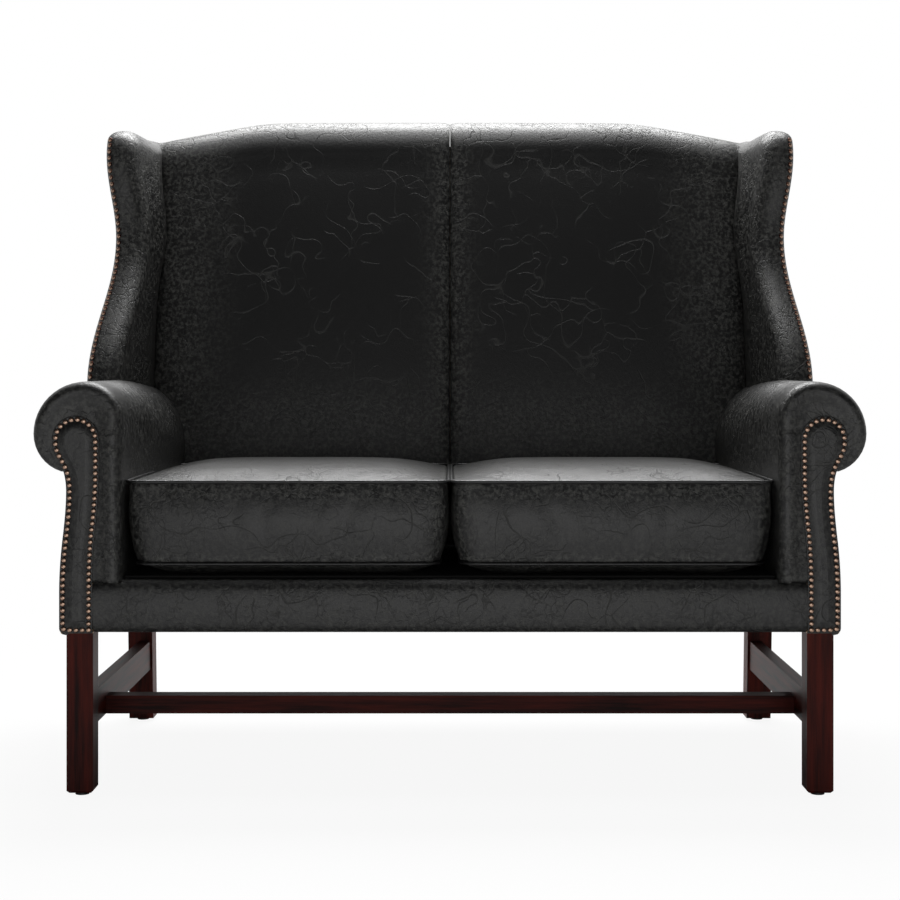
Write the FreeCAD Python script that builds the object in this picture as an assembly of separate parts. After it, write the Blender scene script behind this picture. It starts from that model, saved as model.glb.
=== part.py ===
import FreeCAD
import Part

import math
import os

from FreeCAD import Vector

# High-backed two-seat wing sofa: leather over a beech frame, mahogany legs with an H stretcher.
# Frame: +Z up, the sitter faces -Y, +X is the right-hand side seen from the front.
# The origin is on the floor, under the middle of the sofa. Millimetres.
# The sofa is symmetric about X = 0, so side pieces are drawn for +X and mirrored.

# Overall sizes
overall_width = 1320.0
overall_depth = 830.0
crest_height = 1170.0

# Thin layers and fits
leather = 2.0
soft_gap = 0.3
wood_gap = 0.3
bolt_gap = 0.05

# Legs and stretchers
glide_height = 5.0
glide_radius = 11.0
leg_length = 254.0
leg_width = 42.0
leg_setback = 8.0
leg_foot_chamfer = 4.0
leg_in_from_side = 10.0
rear_leg_width = 46.0
rear_leg_depth = 44.0
rear_leg_rake = 20.0
side_stretcher_thick = 22.0
side_stretcher_high = 54.0
side_stretcher_bottom = 101.0
cross_stretcher_deep = 34.0
cross_stretcher_high = 30.0
cross_stretcher_from_front = 166.0
tenon_length = 16.0
tenon_shoulder = 5.0
bolt_radius = 4.0
bolt_bite = 45.0
bolt_from_rail_front = 11.0

# Seat frame
rail_height = 74.0
rail_thick = 28.0
front_board_thick = 22.0
corner_block_size = 70.0
corner_block_high = 46.0
dust_cover_thick = 1.0
dust_cover_margin = 4.0

# Seat suspension
springs_per_side = 3
spring_wire = 4.0
spring_wave = 46.0
spring_pitch = 96.0
clip_wall = 2.5
clip_wide = 62.0
clip_deep = 16.0
platform_thick = 7.5

# Loose seat cushions
cushion_boxing = 130.0
cushion_under_crown = 20.0
cushion_crown = 30.0
# Run from the welt and rise, as shares: steep at the welt, level at the top
crown_curve = [(0.0, 0.0), (0.1, 0.42), (0.28, 0.8), (0.55, 1.0)]
cushion_bulge = 7.0
cushion_side_draw = 0.024
cushion_corner = 34.0
cushion_front_setback = 9.0
cushion_side_gap = 2.5
cushion_middle_gap = 2.0
cushion_back_gap = 3.0
piping_radius = 2.6
piping_stand = 3.9
piping_bite = 1.0

# Front border, the padded rail under the cushions
border_edge_roll = 14.0
border_lip = 6.0

# Arms: a scroll of three arcs, run straight from front to back
arm_height = 657.0
arm_shoulder_radius = 58.0
roll_radius = 83.0
roll_under_radius = 63.0
roll_under_angle = 82.0
body_flare = 11.0
flare_above_rail = 32.0
flare_share = 0.61
flare_bend = 120.0
arm_pad_thick = 28.0
arm_rim_pad = 14.0
arm_rail_wide = 40.0
arm_rail_high = 40.0
arm_rail_below_top = 55.0
arm_rail_from_outside = 42.0

# Nailed facing on the front of the arm
facing_head_radius = 37.0
facing_head_drop = 91.0
facing_head_from_outside = 69.0
facing_foot = 52.0
facing_hook_drop = 17.0
facing_hook_radius = 25.0
facing_inner_lift = 20.0

# Back
back_rake = 0.2035
back_pad_thick = 91.0
back_edge_drop = 14.0
back_seam_dip = 5.0
back_crown = 16.0
back_swell_height = 0.67
back_seam_power = 8
back_edge_power = 6
back_station_shares = (0.0, 0.15, 0.4, 0.65, 0.85, 1.0)
back_side_gap = 3.5
crest_drop = 46.0
crest_power = 3.4
crest_roll_front = 62.0
crest_roll_back = 44.0
post_thick = 32.0
post_deep = 40.0
post_top_pad = 8.0
crest_rail_high = 70.0
cover_tack = 14.0
lower_rail_high = 46.0
lower_rail_above_deck = 58.0
centre_post_wide = 44.0
webbing_wide = 50.0
webbing_thick = 3.0
webbing_per_side = 4
webbing_lap = 30.0

# Wings
wing_below_crest = 42.0
wing_ear_drop = 38.0
wing_waist_share = 0.596
wing_ear_round = 46.0
wing_reach_base = 222.0
wing_reach_waist = 121.0
wing_reach_ear = 154.0
wing_out_base = 5.0
wing_out_waist = 28.0
wing_out_ear = 10.0
wing_out_back = 28.0
wing_thick = 62.0
wing_edge_outer = 16.0
wing_edge_inner = 36.0
wing_board_thick = 18.0
wing_board_inset = 26.0
wing_seat_depth = 70.0
wing_tuck = 30.0
wing_seam = 1.0
wing_level_shares = (0.0, 0.13, 0.28, 0.43, 0.58, 0.73, 0.86, 0.94, 1.0)

# Decorative nails
nail_radius = 4.8
nail_crown = 3.0
nail_pitch = 10.0
wing_nail_pitch = 12.4
nail_sides = 6
nail_edge_margin = 0.9
nail_bite = 0.4

# Levels
rail_bottom_z = glide_height + leg_length
rail_top_z = rail_bottom_z + rail_height
platform_bottom_z = rail_top_z + clip_wall + spring_wire
deck_z = platform_bottom_z + platform_thick
lower_welt_z = deck_z + soft_gap + cushion_under_crown
upper_welt_z = lower_welt_z + cushion_boxing
border_top_z = rail_top_z + border_lip
cushion_middle_z = (lower_welt_z + upper_welt_z) / 2
arm_rail_top_z = arm_height - arm_rail_below_top
wing_height = crest_height - wing_below_crest
wing_ear_height = wing_height - wing_ear_drop
wing_waist_height = arm_height + wing_waist_share * (wing_ear_height - arm_height)
post_top_z = wing_height - leather - post_top_pad

# Planes across the depth
arm_front_y = nail_crown - nail_bite - overall_depth / 2
board_front_y = arm_front_y + leather
front_rail_y = board_front_y + front_board_thick
back_lean = back_rake * (crest_height - crest_roll_back - rail_top_z)
post_back_y = overall_depth / 2 - leather - back_lean
post_front_y = post_back_y - post_deep
back_rail_y = post_front_y - rail_thick
inside_back_y = post_front_y - back_pad_thick
clip_front_y = front_rail_y + (rail_thick - clip_deep) / 2

# Planes across the width
arm_out_x = overall_width / 2
ridge_x = arm_out_x - roll_radius
arm_in_x = ridge_x - arm_shoulder_radius
roll_under_x = arm_out_x - roll_under_radius
arm_panel_x = roll_under_x + roll_under_radius * math.cos(math.radians(roll_under_angle))
body_side_x = arm_panel_x + body_flare
facing_foot_x = body_side_x - facing_foot
frame_side_x = body_side_x - leather - wood_gap
post_out_x = arm_panel_x - leather - wood_gap
post_in_x = post_out_x - post_thick
back_pad_half_width = post_in_x - back_side_gap
leg_out_x = body_side_x - leg_in_from_side
leg_in_x = leg_out_x - leg_width
leg_mid_x = (leg_in_x + leg_out_x) / 2
rear_leg_in_x = body_side_x - rear_leg_width
rear_leg_mid_x = body_side_x - rear_leg_width / 2

# Longer than the sofa any way, for cutting tools
FAR = 2 * overall_width

# Four corners nearer to one plane than this make a flat face
flatness = 1e-6


def box(x0, x1, y0, y1, z0, z1):
    """A box between two corners."""
    return Part.makeBox(x1 - x0, y1 - y0, z1 - z0, Vector(x0, y0, z0))


def mirrored(shape):
    """The same piece for the other side of the sofa."""
    return shape.mirror(Vector(0, 0, 0), Vector(1, 0, 0))


def both(shapes):
    """Pieces of the +X side and their mirror images."""
    return list(shapes) + [mirrored(s) for s in shapes]


def line(a, b):
    return Part.LineSegment(a, b).toShape()


def arc(a, middle, b):
    return Part.Arc(a, middle, b).toShape()


def chain(points):
    """Straight edges from point to point."""
    return [line(a, b) for a, b in zip(points, points[1:])]


def closed(edges):
    """One closed wire from edges in any order."""
    return Part.Wire(Part.__sortEdges__(edges))


def polygon(points):
    return Part.makePolygon(list(points) + [points[0]])


def prism(wire, direction):
    return Part.Face(wire).extrude(direction)


def across(wire):
    """A solid right across the sofa from an outline in the plane x = 0."""
    moved = wire.copy()
    moved.translate(Vector(-FAR / 2, 0, 0))
    return prism(moved, Vector(FAR, 0, 0))


def through(wire):
    """A solid right through the sofa from an outline in the plane y = 0."""
    moved = wire.copy()
    moved.translate(Vector(0, -FAR / 2, 0))
    return prism(moved, Vector(0, FAR, 0))


def layer(outer, inner):
    """A closed wire between two open paths that run the same way."""
    ends = [line(outer[0].Vertexes[0].Point, inner[0].Vertexes[0].Point)]
    ends.append(line(outer[-1].Vertexes[-1].Point, inner[-1].Vertexes[-1].Point))
    return closed(outer + inner + ends)


def blend(a, b, t):
    """A value that eases from a to b as t goes from 0 to 1."""
    t = min(max(t, 0.0), 1.0)
    return a + (b - a) * (1 - math.cos(math.pi * t)) / 2


def turn(before, corner, after, radius):
    """Start, middle and end of the arc that rounds a corner."""
    to_before = (before - corner).normalize()
    to_after = (after - corner).normalize()
    half_turn = (math.pi - to_before.getAngle(to_after)) / 2
    reach = radius * math.tan(half_turn)
    depth = radius / math.cos(half_turn) - radius
    middle = corner + (to_before + to_after).normalize() * depth
    return corner + to_before * reach, middle, corner + to_after * reach


def rounded_path(points, radii):
    """Edges of an open path whose inner corners are rounded."""
    edges = []
    last = points[0]
    for k, radius in enumerate(radii):
        start, middle, end = turn(points[k], points[k + 1], points[k + 2], radius)
        edges += [line(last, start), arc(start, middle, end)]
        last = end
    edges.append(line(last, points[-1]))
    return edges


def plan_turns(corners, radius, side_draw):
    """Per corner of a plan: start, middle and end of its arc, and the middle of the side after it."""
    count = len(corners)
    arcs = [turn(corners[k - 1], corners[k], corners[(k + 1) % count], radius) for k in range(count)]
    turns = []
    for k in range(count):
        a, b = arcs[k][2], arcs[(k + 1) % count][0]
        inward = Vector(a.y - b.y, b.x - a.x, 0) * (side_draw / 2)
        turns.append(arcs[k] + ((a + b) * 0.5 + inward,))
    return turns


def round_loop(turns):
    """A closed plan with round corners."""
    edges = []
    for k, (start, middle, end, drawn) in enumerate(turns):
        following = turns[(k + 1) % len(turns)][0]
        edges += [arc(start, middle, end), line(end, drawn), line(drawn, following)]
    return Part.Wire(edges)


def soft_loop(turns):
    """The same plan with each corner turned in two straight steps."""
    return polygon([point for corner in turns for point in corner])


def cut_loop(turns):
    """The same plan with its corners cut straight."""
    return polygon([point for start, middle, end, drawn in turns for point in (start, end, drawn)])


def between(a, b, heart):
    """Faces between two edges: flat ones between straight lines, a ruled one between arcs.

    A twisted strip between straight lines is folded along its diagonal nearer to the heart."""
    p, q = a.firstVertex(True).Point, a.lastVertex(True).Point
    r, t = b.lastVertex(True).Point, b.firstVertex(True).Point
    if a.Curve.TypeId != "Part::GeomLine":
        return [Part.makeRuledSurface(a, b)]
    normal = (q - p).cross(r - p).normalize()
    if abs(normal.dot(t - p)) < flatness:
        return [Part.Face(polygon([p, q, r, t]))]
    if ((p + r) * 0.5).distanceToPoint(heart) < ((q + t) * 0.5).distanceToPoint(heart):
        return [Part.Face(polygon([p, q, r])), Part.Face(polygon([p, r, t]))]
    return [Part.Face(polygon([p, q, t])), Part.Face(polygon([q, r, t]))]


def ruled(wires, hearts=None):
    """A solid through closed wires of matching edges, straight from each wire to the next."""
    faces = [Part.Face(wires[0]), Part.Face(wires[-1])]
    for k, (low, high) in enumerate(zip(wires, wires[1:])):
        heart = hearts[k] if hearts else low.CenterOfMass
        for a, b in zip(low.Edges, high.Edges):
            faces += between(a, b, heart)
    shell = Part.Shell(faces)
    shell.sewShape()
    return Part.Solid(shell)


def save(name, shape):
    """Write one sub-component."""
    os.makedirs("parts", exist_ok=True)
    shape.exportStep(f"parts/{name}.step")
    print(f"{name}: {len(shape.Solids)} solid(s), {shape.Volume / 1000:.0f} cm3, valid {shape.isValid()}")


def save_pair(name, shape):
    save(f"{name}_right", shape)
    save(f"{name}_left", mirrored(shape))


# Planes of the back, upright on the seat rails and raked above them


def raked(y, z):
    """How far back a plane that starts at y on the seat rails is at height z."""
    return y + back_rake * max(z - rail_top_z, 0.0)


def behind(y):
    """Everything behind the raked plane that starts at y."""
    top = 2 * crest_height
    outline = [(y, -top), (y, rail_top_z), (raked(y, top), top), (FAR, top), (FAR, -top)]
    return across(polygon([Vector(0, u, v) for u, v in outline]))


def back_slab(front_y, back_y, low_z, high_z):
    """The slab of the back between two raked planes and two heights."""
    slab = behind(front_y).cut(behind(back_y))
    return slab.common(box(-FAR, FAR, -FAR, FAR, low_z, high_z))


def crest_z(x):
    """Top of the back, level in the middle and falling towards the wings."""
    return crest_height - crest_drop * (abs(x) / back_pad_half_width) ** crest_power


# Legs, stretchers, glides and bolts


def rear_leg_y(z):
    """Front face of the raked rear leg at height z."""
    return back_rail_y + rear_leg_rake * (rail_bottom_z - z) / leg_length


def bolt_spots():
    front = front_rail_y + bolt_from_rail_front
    return [(leg_mid_x, front), (rear_leg_mid_x, back_rail_y + rail_thick / 2)]


def bolts(radius):
    """The two leg bolts of one side, half in the leg and half in the rail."""
    low = rail_bottom_z - bolt_bite
    return [Part.makeCylinder(radius, 2 * bolt_bite, Vector(x, y, low)) for x, y in bolt_spots()]


def make_front_leg():
    front = arm_front_y + leg_setback
    leg = box(leg_in_x, leg_out_x, front, front + leg_width, glide_height, rail_bottom_z)
    foot = [e for e in leg.Edges if max(v.Z for v in e.Vertexes) < glide_height + leg_foot_chamfer]
    return leg.makeChamfer(leg_foot_chamfer, foot)


def make_rear_leg():
    def square(z):
        y = rear_leg_y(z)
        corners = [(rear_leg_in_x, y), (body_side_x, y)]
        corners += [(body_side_x, y + rear_leg_depth), (rear_leg_in_x, y + rear_leg_depth)]
        return polygon([Vector(u, v, z) for u, v in corners])
    return ruled([square(glide_height), square(rail_bottom_z)])


def make_side_stretcher():
    """A rail between the legs, with a tenon at each end."""
    low, high = side_stretcher_bottom, side_stretcher_bottom + side_stretcher_high
    x0, x1 = leg_mid_x - side_stretcher_thick / 2, leg_mid_x + side_stretcher_thick / 2
    front_y = arm_front_y + leg_setback + leg_width
    rear_y = rear_leg_y(high)
    body = box(x0, x1, front_y, rear_y + rear_leg_depth / 2, low, high).cut(make_rear_leg())
    tenon_x = x0 + tenon_shoulder, x1 - tenon_shoulder
    tenon_z = low + tenon_shoulder, high - tenon_shoulder
    tenons = box(*tenon_x, front_y - tenon_length, rear_y + tenon_length, *tenon_z)
    return body.fuse(tenons).removeSplitter()


def make_cross_stretcher():
    """A rail between the two side stretchers, tenoned into both."""
    half = leg_mid_x - side_stretcher_thick / 2
    y0 = arm_front_y + cross_stretcher_from_front
    y1 = y0 + cross_stretcher_deep
    low, high = side_stretcher_bottom, side_stretcher_bottom + cross_stretcher_high
    body = box(-half, half, y0, y1, low, high)
    reach = half + tenon_length
    tenon = box(-reach, reach, y0 + tenon_shoulder, y1 - tenon_shoulder,
                low + tenon_shoulder, high - tenon_shoulder)
    return body.fuse(tenon).removeSplitter()


def make_glides():
    front_mid = arm_front_y + leg_setback + leg_width / 2
    rear_mid = rear_leg_y(glide_height) + rear_leg_depth / 2
    spots = [(leg_mid_x, front_mid), (rear_leg_mid_x, rear_mid)]
    return [Part.makeCylinder(glide_radius, glide_height, Vector(x, y, 0)) for x, y in spots]


def make_base():
    cross = make_cross_stretcher()
    stretcher = make_side_stretcher()
    holes = bolts(bolt_radius + bolt_gap)
    save_pair("front_leg", make_front_leg().cut([stretcher] + holes))
    save_pair("rear_leg", make_rear_leg().cut([stretcher] + holes))
    save_pair("side_stretcher", stretcher.cut(cross))
    save("cross_stretcher", cross)
    save("foot_glides", Part.makeCompound(both(make_glides())))
    save("leg_bolts", Part.makeCompound(both(bolts(bolt_radius))))


# Seat frame


def corner_block(y, inward):
    """A three-sided block glued into a corner of the seat frame."""
    x = frame_side_x - rail_thick
    z = rail_bottom_z + (rail_height - corner_block_high) / 2
    corners = [(x, y), (x - corner_block_size, y), (x, y + inward * corner_block_size)]
    return prism(polygon([Vector(u, v, z) for u, v in corners]), Vector(0, 0, corner_block_high))


def make_seat_frame():
    z = rail_bottom_z, rail_top_z
    inner_front_y = front_rail_y + rail_thick
    holes = both(bolts(bolt_radius + bolt_gap))
    save("front_rail", box(-frame_side_x, frame_side_x, front_rail_y, inner_front_y, *z).cut(holes))
    save("back_rail", box(-frame_side_x, frame_side_x, back_rail_y, post_front_y, *z).cut(holes))
    save_pair("side_rail", box(frame_side_x - rail_thick, frame_side_x, inner_front_y, back_rail_y, *z))
    save("centre_rail", box(-rail_thick / 2, rail_thick / 2, inner_front_y, back_rail_y, *z))
    blocks = [corner_block(inner_front_y, 1), corner_block(back_rail_y, -1)]
    save("corner_blocks", Part.makeCompound(both(blocks)))


def make_dust_cover():
    """Thin cloth under the seat frame, cut out round the legs."""
    z = rail_bottom_z - dust_cover_thick
    m = dust_cover_margin
    cloth = box(-frame_side_x, frame_side_x, front_rail_y, post_back_y, z, rail_bottom_z)
    front_back_y = arm_front_y + leg_setback + leg_width + m
    notches = [
        box(leg_in_x - m, FAR, -FAR, front_back_y, 0, FAR),
        box(rear_leg_in_x - m, FAR, back_rail_y - m, FAR, 0, FAR),
    ]
    save("dust_cover", cloth.cut(both(notches)))


# Seat suspension


def zigzag_spring(x):
    """A flat zigzag spring from front rail to back rail, its bends drawn square."""
    start = front_rail_y + rail_thick / 2
    length = back_rail_y + rail_thick / 2 - start
    waves = round(length / spring_pitch)
    step = length / waves
    half = spring_wire / 2
    reach = spring_wave / 2
    bars = []
    for k in range(waves + 1):
        y = start + step * k
        bars.append(box(x - reach, x + reach, y - half, y + half, rail_top_z + clip_wall, platform_bottom_z))
    for k in range(waves):
        y = start + step * k
        end = x + (reach - half) * (-1) ** k
        bars.append(box(end - half, end + half, y, y + step, rail_top_z + clip_wall, platform_bottom_z))
    return bars[0].fuse(bars[1:]).removeSplitter()


def make_suspension():
    spots = [arm_in_x * (k + 0.5) / springs_per_side for k in range(springs_per_side)]
    springs = [zigzag_spring(x) for x in spots]
    clips = []
    for x in spots:
        for y in (front_rail_y + rail_thick / 2, back_rail_y + rail_thick / 2):
            clip = box(x - clip_wide / 2, x + clip_wide / 2, y - clip_deep / 2, y + clip_deep / 2,
                       rail_top_z, platform_bottom_z)
            clips.append(clip.cut(springs))
    save("seat_springs", Part.makeCompound(both(springs)))
    save("spring_clips", Part.makeCompound(both(clips)))
    half = arm_in_x - soft_gap
    save("seat_platform", box(-half, half, clip_front_y, inside_back_y, platform_bottom_z, deck_z))


# Front border


def border_path(inset):
    """The padded front border in the plane x = 0: under the rail, up the front, back on to the rail."""
    front = arm_front_y + inset
    low, top = rail_bottom_z + inset, border_top_z - inset
    roll = border_edge_roll - inset
    points = [(front_rail_y - wood_gap, low), (front, low), (front, top), (clip_front_y - wood_gap, top)]
    return rounded_path([Vector(0, y, z) for y, z in points], [roll, roll])


def make_border():
    half = facing_foot_x - soft_gap
    span = box(-half, half, -FAR, FAR, 0, FAR)
    save("front_border_cover", across(layer(border_path(0.0), border_path(leather))).common(span))
    path = border_path(leather + soft_gap)
    first, last = path[0].Vertexes[0].Point, path[-1].Vertexes[-1].Point
    rest = [last, Vector(0, last.y, rail_top_z), Vector(0, first.y, rail_top_z), first]
    save("front_border_pad", across(closed(path + chain(rest))).common(span))


# Arms


def arm_path(inset, low_z):
    """The arm's surface in the plane y = 0: up the inner face, over the roll and in under it."""
    def on(centre_x, centre_z, radius, degrees):
        angle = math.radians(degrees)
        return Vector(centre_x + radius * math.cos(angle), 0, centre_z + radius * math.sin(angle))

    def sweep(centre_x, centre_z, radius, start, end):
        angles = start, (start + end) / 2, end
        return arc(*[on(centre_x, centre_z, radius, a) for a in angles])
    shoulder_z = arm_height - arm_shoulder_radius
    roll_z = arm_height - roll_radius
    inner = arm_in_x + inset
    return [
        line(Vector(inner, 0, low_z), Vector(inner, 0, shoulder_z)),
        sweep(ridge_x, shoulder_z, arm_shoulder_radius - inset, 180, 90),
        sweep(ridge_x, roll_z, roll_radius - inset, 90, 0),
        sweep(roll_under_x, roll_z, roll_under_radius - inset, 0, -roll_under_angle),
    ]


def arm_block(inset, low_z, front_y, back_y):
    """The whole arm section down to low_z, as a block between two depths."""
    path = arm_path(inset, low_z)
    first, last = path[0].Vertexes[0].Point, path[-1].Vertexes[-1].Point
    wire = closed(path + chain([last, Vector(last.x, 0, low_z), first]))
    return through(wire).common(box(-FAR, FAR, front_y, back_y, 0, FAR))


def arm_space():
    """The room that back and wing leave for the arm."""
    return arm_block(-soft_gap, rail_bottom_z, -FAR, FAR)


def arm_band(inset, thick, front_y, low_z):
    """A layer of the arm between two insets, from front_y to the back of the sofa."""
    band = through(layer(arm_path(inset, low_z), arm_path(inset + thick, low_z)))
    return band.common(box(0, FAR, front_y, FAR, 0, FAR)).cut(behind(post_back_y))


def under_roll_z():
    """Height where the roll meets the arm's outer side."""
    return arm_path(0.0, deck_z)[-1].Vertexes[-1].Point.z


def side_corners(inset):
    """Corners of the arm's outer side in the plane y = 0, from the roll down."""
    foot_z = rail_top_z + flare_above_rail
    bend_z = foot_z + (under_roll_z() - foot_z) * flare_share
    points = [(arm_panel_x, under_roll_z()), (arm_panel_x, bend_z)]
    points += [(body_side_x, foot_z), (body_side_x, rail_bottom_z)]
    return [Vector(x - inset, 0, z) for x, z in points]


def facing_wire(inset):
    """The nailed panel on the front of the arm, in the plane y = 0: a slim scroll with a round head."""
    head_x = arm_out_x - facing_head_from_outside
    head_z = arm_height - facing_head_drop
    radius = facing_head_radius - inset
    neck_x, hook_x = head_x - radius, head_x + radius
    side = side_corners(inset)
    bend_z = side[1].z + facing_inner_lift
    flare_z = side[2].z + facing_inner_lift
    low = rail_bottom_z + inset
    foot_x = facing_foot_x + inset

    def at(x, z):
        return Vector(x, 0, z)
    inner = [at(foot_x, low), at(foot_x, flare_z), at(neck_x, bend_z), at(neck_x, head_z)]
    outer = [at(hook_x, head_z), at(hook_x, head_z - facing_hook_drop), side[0], side[1], side[2]]
    outer.append(at(side[3].x, low))
    hook = facing_hook_radius - inset
    k = radius / math.sqrt(2)
    top = at(head_x, head_z + radius)
    edges = rounded_path(inner, [flare_bend, flare_bend])
    edges += rounded_path(outer, [hook, facing_hook_radius + inset, flare_bend, flare_bend])
    edges.append(arc(inner[-1], at(head_x - k, head_z + k), top))
    edges.append(arc(top, at(head_x + k, head_z + k), outer[0]))
    edges.append(line(outer[-1], inner[0]))
    return closed(edges)


def at_front(wire, front_y, thick):
    """A plate of a given thickness from an outline in the plane y = 0."""
    moved = wire.copy()
    moved.translate(Vector(0, front_y, 0))
    return prism(moved, Vector(0, thick, 0))


def make_arm_board(gap):
    """The scroll-shaped post at the front of the arm, with a foot on the front rail, grown by a gap."""
    foot_z = border_top_z + wood_gap
    path = arm_path(leather + arm_rim_pad - gap, foot_z)
    first, last = path[0].Vertexes[0].Point, path[-1].Vertexes[-1].Point
    side = [last] + side_corners(leather + wood_gap)[1:]
    foot = [side[-1], Vector(facing_foot_x, 0, rail_bottom_z), Vector(facing_foot_x, 0, foot_z), first]
    edges = path + rounded_path(side, [flare_bend, flare_bend]) + chain(foot)
    return at_front(closed(edges), board_front_y, front_board_thick)


def make_arm_cover():
    """Leather over the arm, from the seat up over the roll, turned in across the front of the scroll."""
    low = border_top_z + wood_gap
    band = arm_band(0.0, leather, arm_front_y, low)
    lip = arm_block(leather / 2, low, arm_front_y, board_front_y)
    return band.fuse(lip).cut(at_front(facing_wire(0.0), arm_front_y - leather, 3 * leather))


def make_arm_pad():
    """Foam under the arm cover: thin round the rim of the front post, thicker behind it."""
    pad = arm_band(leather + soft_gap, arm_pad_thick, board_front_y, deck_z + soft_gap)
    return pad.cut(make_arm_board(wood_gap))


def make_arm_rail():
    """The rail inside the roll, from the front post to the back post."""
    x = arm_out_x - arm_rail_from_outside
    low = arm_rail_top_z - arm_rail_high
    return box(x - arm_rail_wide, x, front_rail_y, FAR, low, arm_rail_top_z).cut(behind(post_front_y))


def make_outside_arm():
    """Leather over the outer side of the arm, under the roll."""
    paths = [rounded_path(side_corners(inset), [flare_bend, flare_bend]) for inset in (0.0, leather)]
    panel = through(layer(*paths)).common(box(0, FAR, board_front_y, FAR, 0, FAR))
    return panel.cut(behind(post_back_y))


def make_arms():
    in_the_way = [wing_board_block(wood_gap), back_frame_space()]
    save_pair("arm_board", make_arm_board(0.0))
    save_pair("arm_rail", make_arm_rail())
    save_pair("arm_pad", make_arm_pad().cut(in_the_way))
    save_pair("arm_cover", make_arm_cover().cut(in_the_way))
    save_pair("outside_arm", make_outside_arm())
    save_pair("arm_facing", at_front(facing_wire(soft_gap), arm_front_y, leather))


# Wings


def wing_mix(base, waist, ear, z):
    """A size of the wing at height z, eased from the arm to the waist and on to the ear."""
    if z < wing_waist_height:
        return blend(base, waist, (z - arm_height) / (wing_waist_height - arm_height))
    return blend(waist, ear, (z - wing_waist_height) / (wing_ear_height - wing_waist_height))


def wing_join_y(z):
    """The inside back beside the wing, at height z."""
    return raked(inside_back_y + back_edge_drop, z)


def wing_front(z):
    """The depth of the wing's front edge, swept forward on to the arm and rounded off at the ear."""
    over = min(max(z - wing_ear_height, 0.0), wing_ear_round)
    ear = wing_ear_round - math.sqrt(wing_ear_round ** 2 - over ** 2)
    return wing_join_y(z) - wing_mix(wing_reach_base, wing_reach_waist, wing_reach_ear, z) + ear


def wing_corners(z, inset):
    """Points of the wing's level section at height z, from its back round the front edge to the inside."""
    face = arm_out_x - wing_mix(wing_out_base, wing_out_waist, wing_out_ear, z)
    out, front = face - inset, wing_front(z) + inset
    inner = face - wing_thick + inset
    r_out, r_in = wing_edge_outer - inset, wing_edge_inner - inset
    join_x = back_pad_half_width + soft_gap + inset
    back_y = raked(post_back_y, z)
    k = 1 - 1 / math.sqrt(2)
    plan = {
        "back_out": (arm_out_x - wing_out_back - inset, back_y),
        "turn_out": (out, front + r_out),
        "mid_out": (out - r_out * k, front + r_out * k),
        "nose_out": (out - r_out, front),
        "nose_in": (inner + r_in, front),
        "mid_in": (inner + r_in * k, front + r_in * k),
        "turn_in": (inner, front + r_in),
        "join": (join_x, wing_join_y(z)),
        "tuck": (join_x, wing_join_y(z) + wing_tuck),
        "back_in": (join_x, back_y),
    }
    return {name: Vector(x, y, z) for name, (x, y) in plan.items()}


def wing_levels(top):
    """Heights of the wing's sections, closer together towards the ear."""
    low = arm_height - wing_seat_depth
    return [low + (top - low) * share for share in wing_level_shares]


def wing_skin_section(z):
    """Leather and wadding round the front edge and the inner face: round outside, flat-sided inside."""
    a, b = wing_corners(z, 0.0), wing_corners(z, leather)
    outer = [
        arc(a["turn_out"], a["mid_out"], a["nose_out"]),
        line(a["nose_out"], a["nose_in"]),
        arc(a["nose_in"], a["mid_in"], a["turn_in"]),
        line(a["turn_in"], a["join"]),
        line(a["join"], a["tuck"]),
    ]
    inner = ("turn_out", "nose_out", "nose_in", "turn_in", "join", "tuck")
    return layer(outer, chain([b[name] for name in inner]))


def wing_side_section(z):
    """Leather over the outer face of the wing."""
    a, b = wing_corners(z, 0.0), wing_corners(z, leather)
    seam = Vector(0, wing_seam, 0)
    return polygon([a["back_out"], a["turn_out"] + seam, b["turn_out"] + seam, b["back_out"]])


def wing_pad_section(z, inset):
    """The whole wing inside a given inset, flat-sided."""
    c = wing_corners(z, inset)
    names = ("turn_out", "nose_out", "nose_in", "turn_in", "join", "back_in", "back_out")
    return polygon([c[name] for name in names])


def wing_board_block(gap):
    """The shaped board inside the wing, run on past the back and grown by a gap."""
    low = arm_rail_top_z - gap
    top = wing_height - wing_board_inset + gap
    x = post_out_x - gap
    heights = [low] + [z for z in wing_levels(top) if z > arm_height]
    front = [Vector(x, wing_front(z) + wing_board_inset - gap, z) for z in heights]
    wire = polygon(front + [Vector(x, FAR, top), Vector(x, FAR, low)])
    return prism(wire, Vector(wing_board_thick + 2 * gap, 0, 0))


def wing_hearts(levels):
    """Points in the middle of the wing, one for each step between levels."""
    x = post_out_x + wing_board_thick / 2
    return [Vector(x, raked(post_front_y, z), z) for z in levels]


def make_wings():
    inset = leather + soft_gap
    room = arm_space()
    lid_z = wing_height - leather
    levels = wing_levels(lid_z)
    hearts = wing_hearts(levels)
    pad = ruled([wing_pad_section(z, inset) for z in wing_levels(lid_z - soft_gap)], hearts)
    pad = pad.cut([room, wing_board_block(wood_gap), back_frame_space()])
    lid = ruled([wing_pad_section(lid_z, leather / 2), wing_pad_section(wing_height, leather)])
    cover = ruled([wing_skin_section(z) for z in levels], hearts).cut(room)
    side = ruled([wing_side_section(z) for z in levels], hearts).cut(room)
    save_pair("wing_board", wing_board_block(0.0).cut(behind(post_back_y)))
    save_pair("wing_pad", pad)
    save_pair("wing_cover", cover.fuse(lid))
    save_pair("outside_wing", side)


# Back

back_stations = [back_pad_half_width * share for share in back_station_shares]


def back_front_y(x, z):
    """The inside back: raked, swelling across each half, drawn in at the middle seam and at the wing."""
    share = min(abs(x) / back_pad_half_width, 1.0)
    swell = back_crown * math.sqrt(max(math.sin(math.pi * share), 0.0))
    seam = back_seam_dip * (1 - share) ** back_seam_power
    edge = back_edge_drop * share ** back_edge_power
    return raked(inside_back_y, z) - swell + seam + edge


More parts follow.
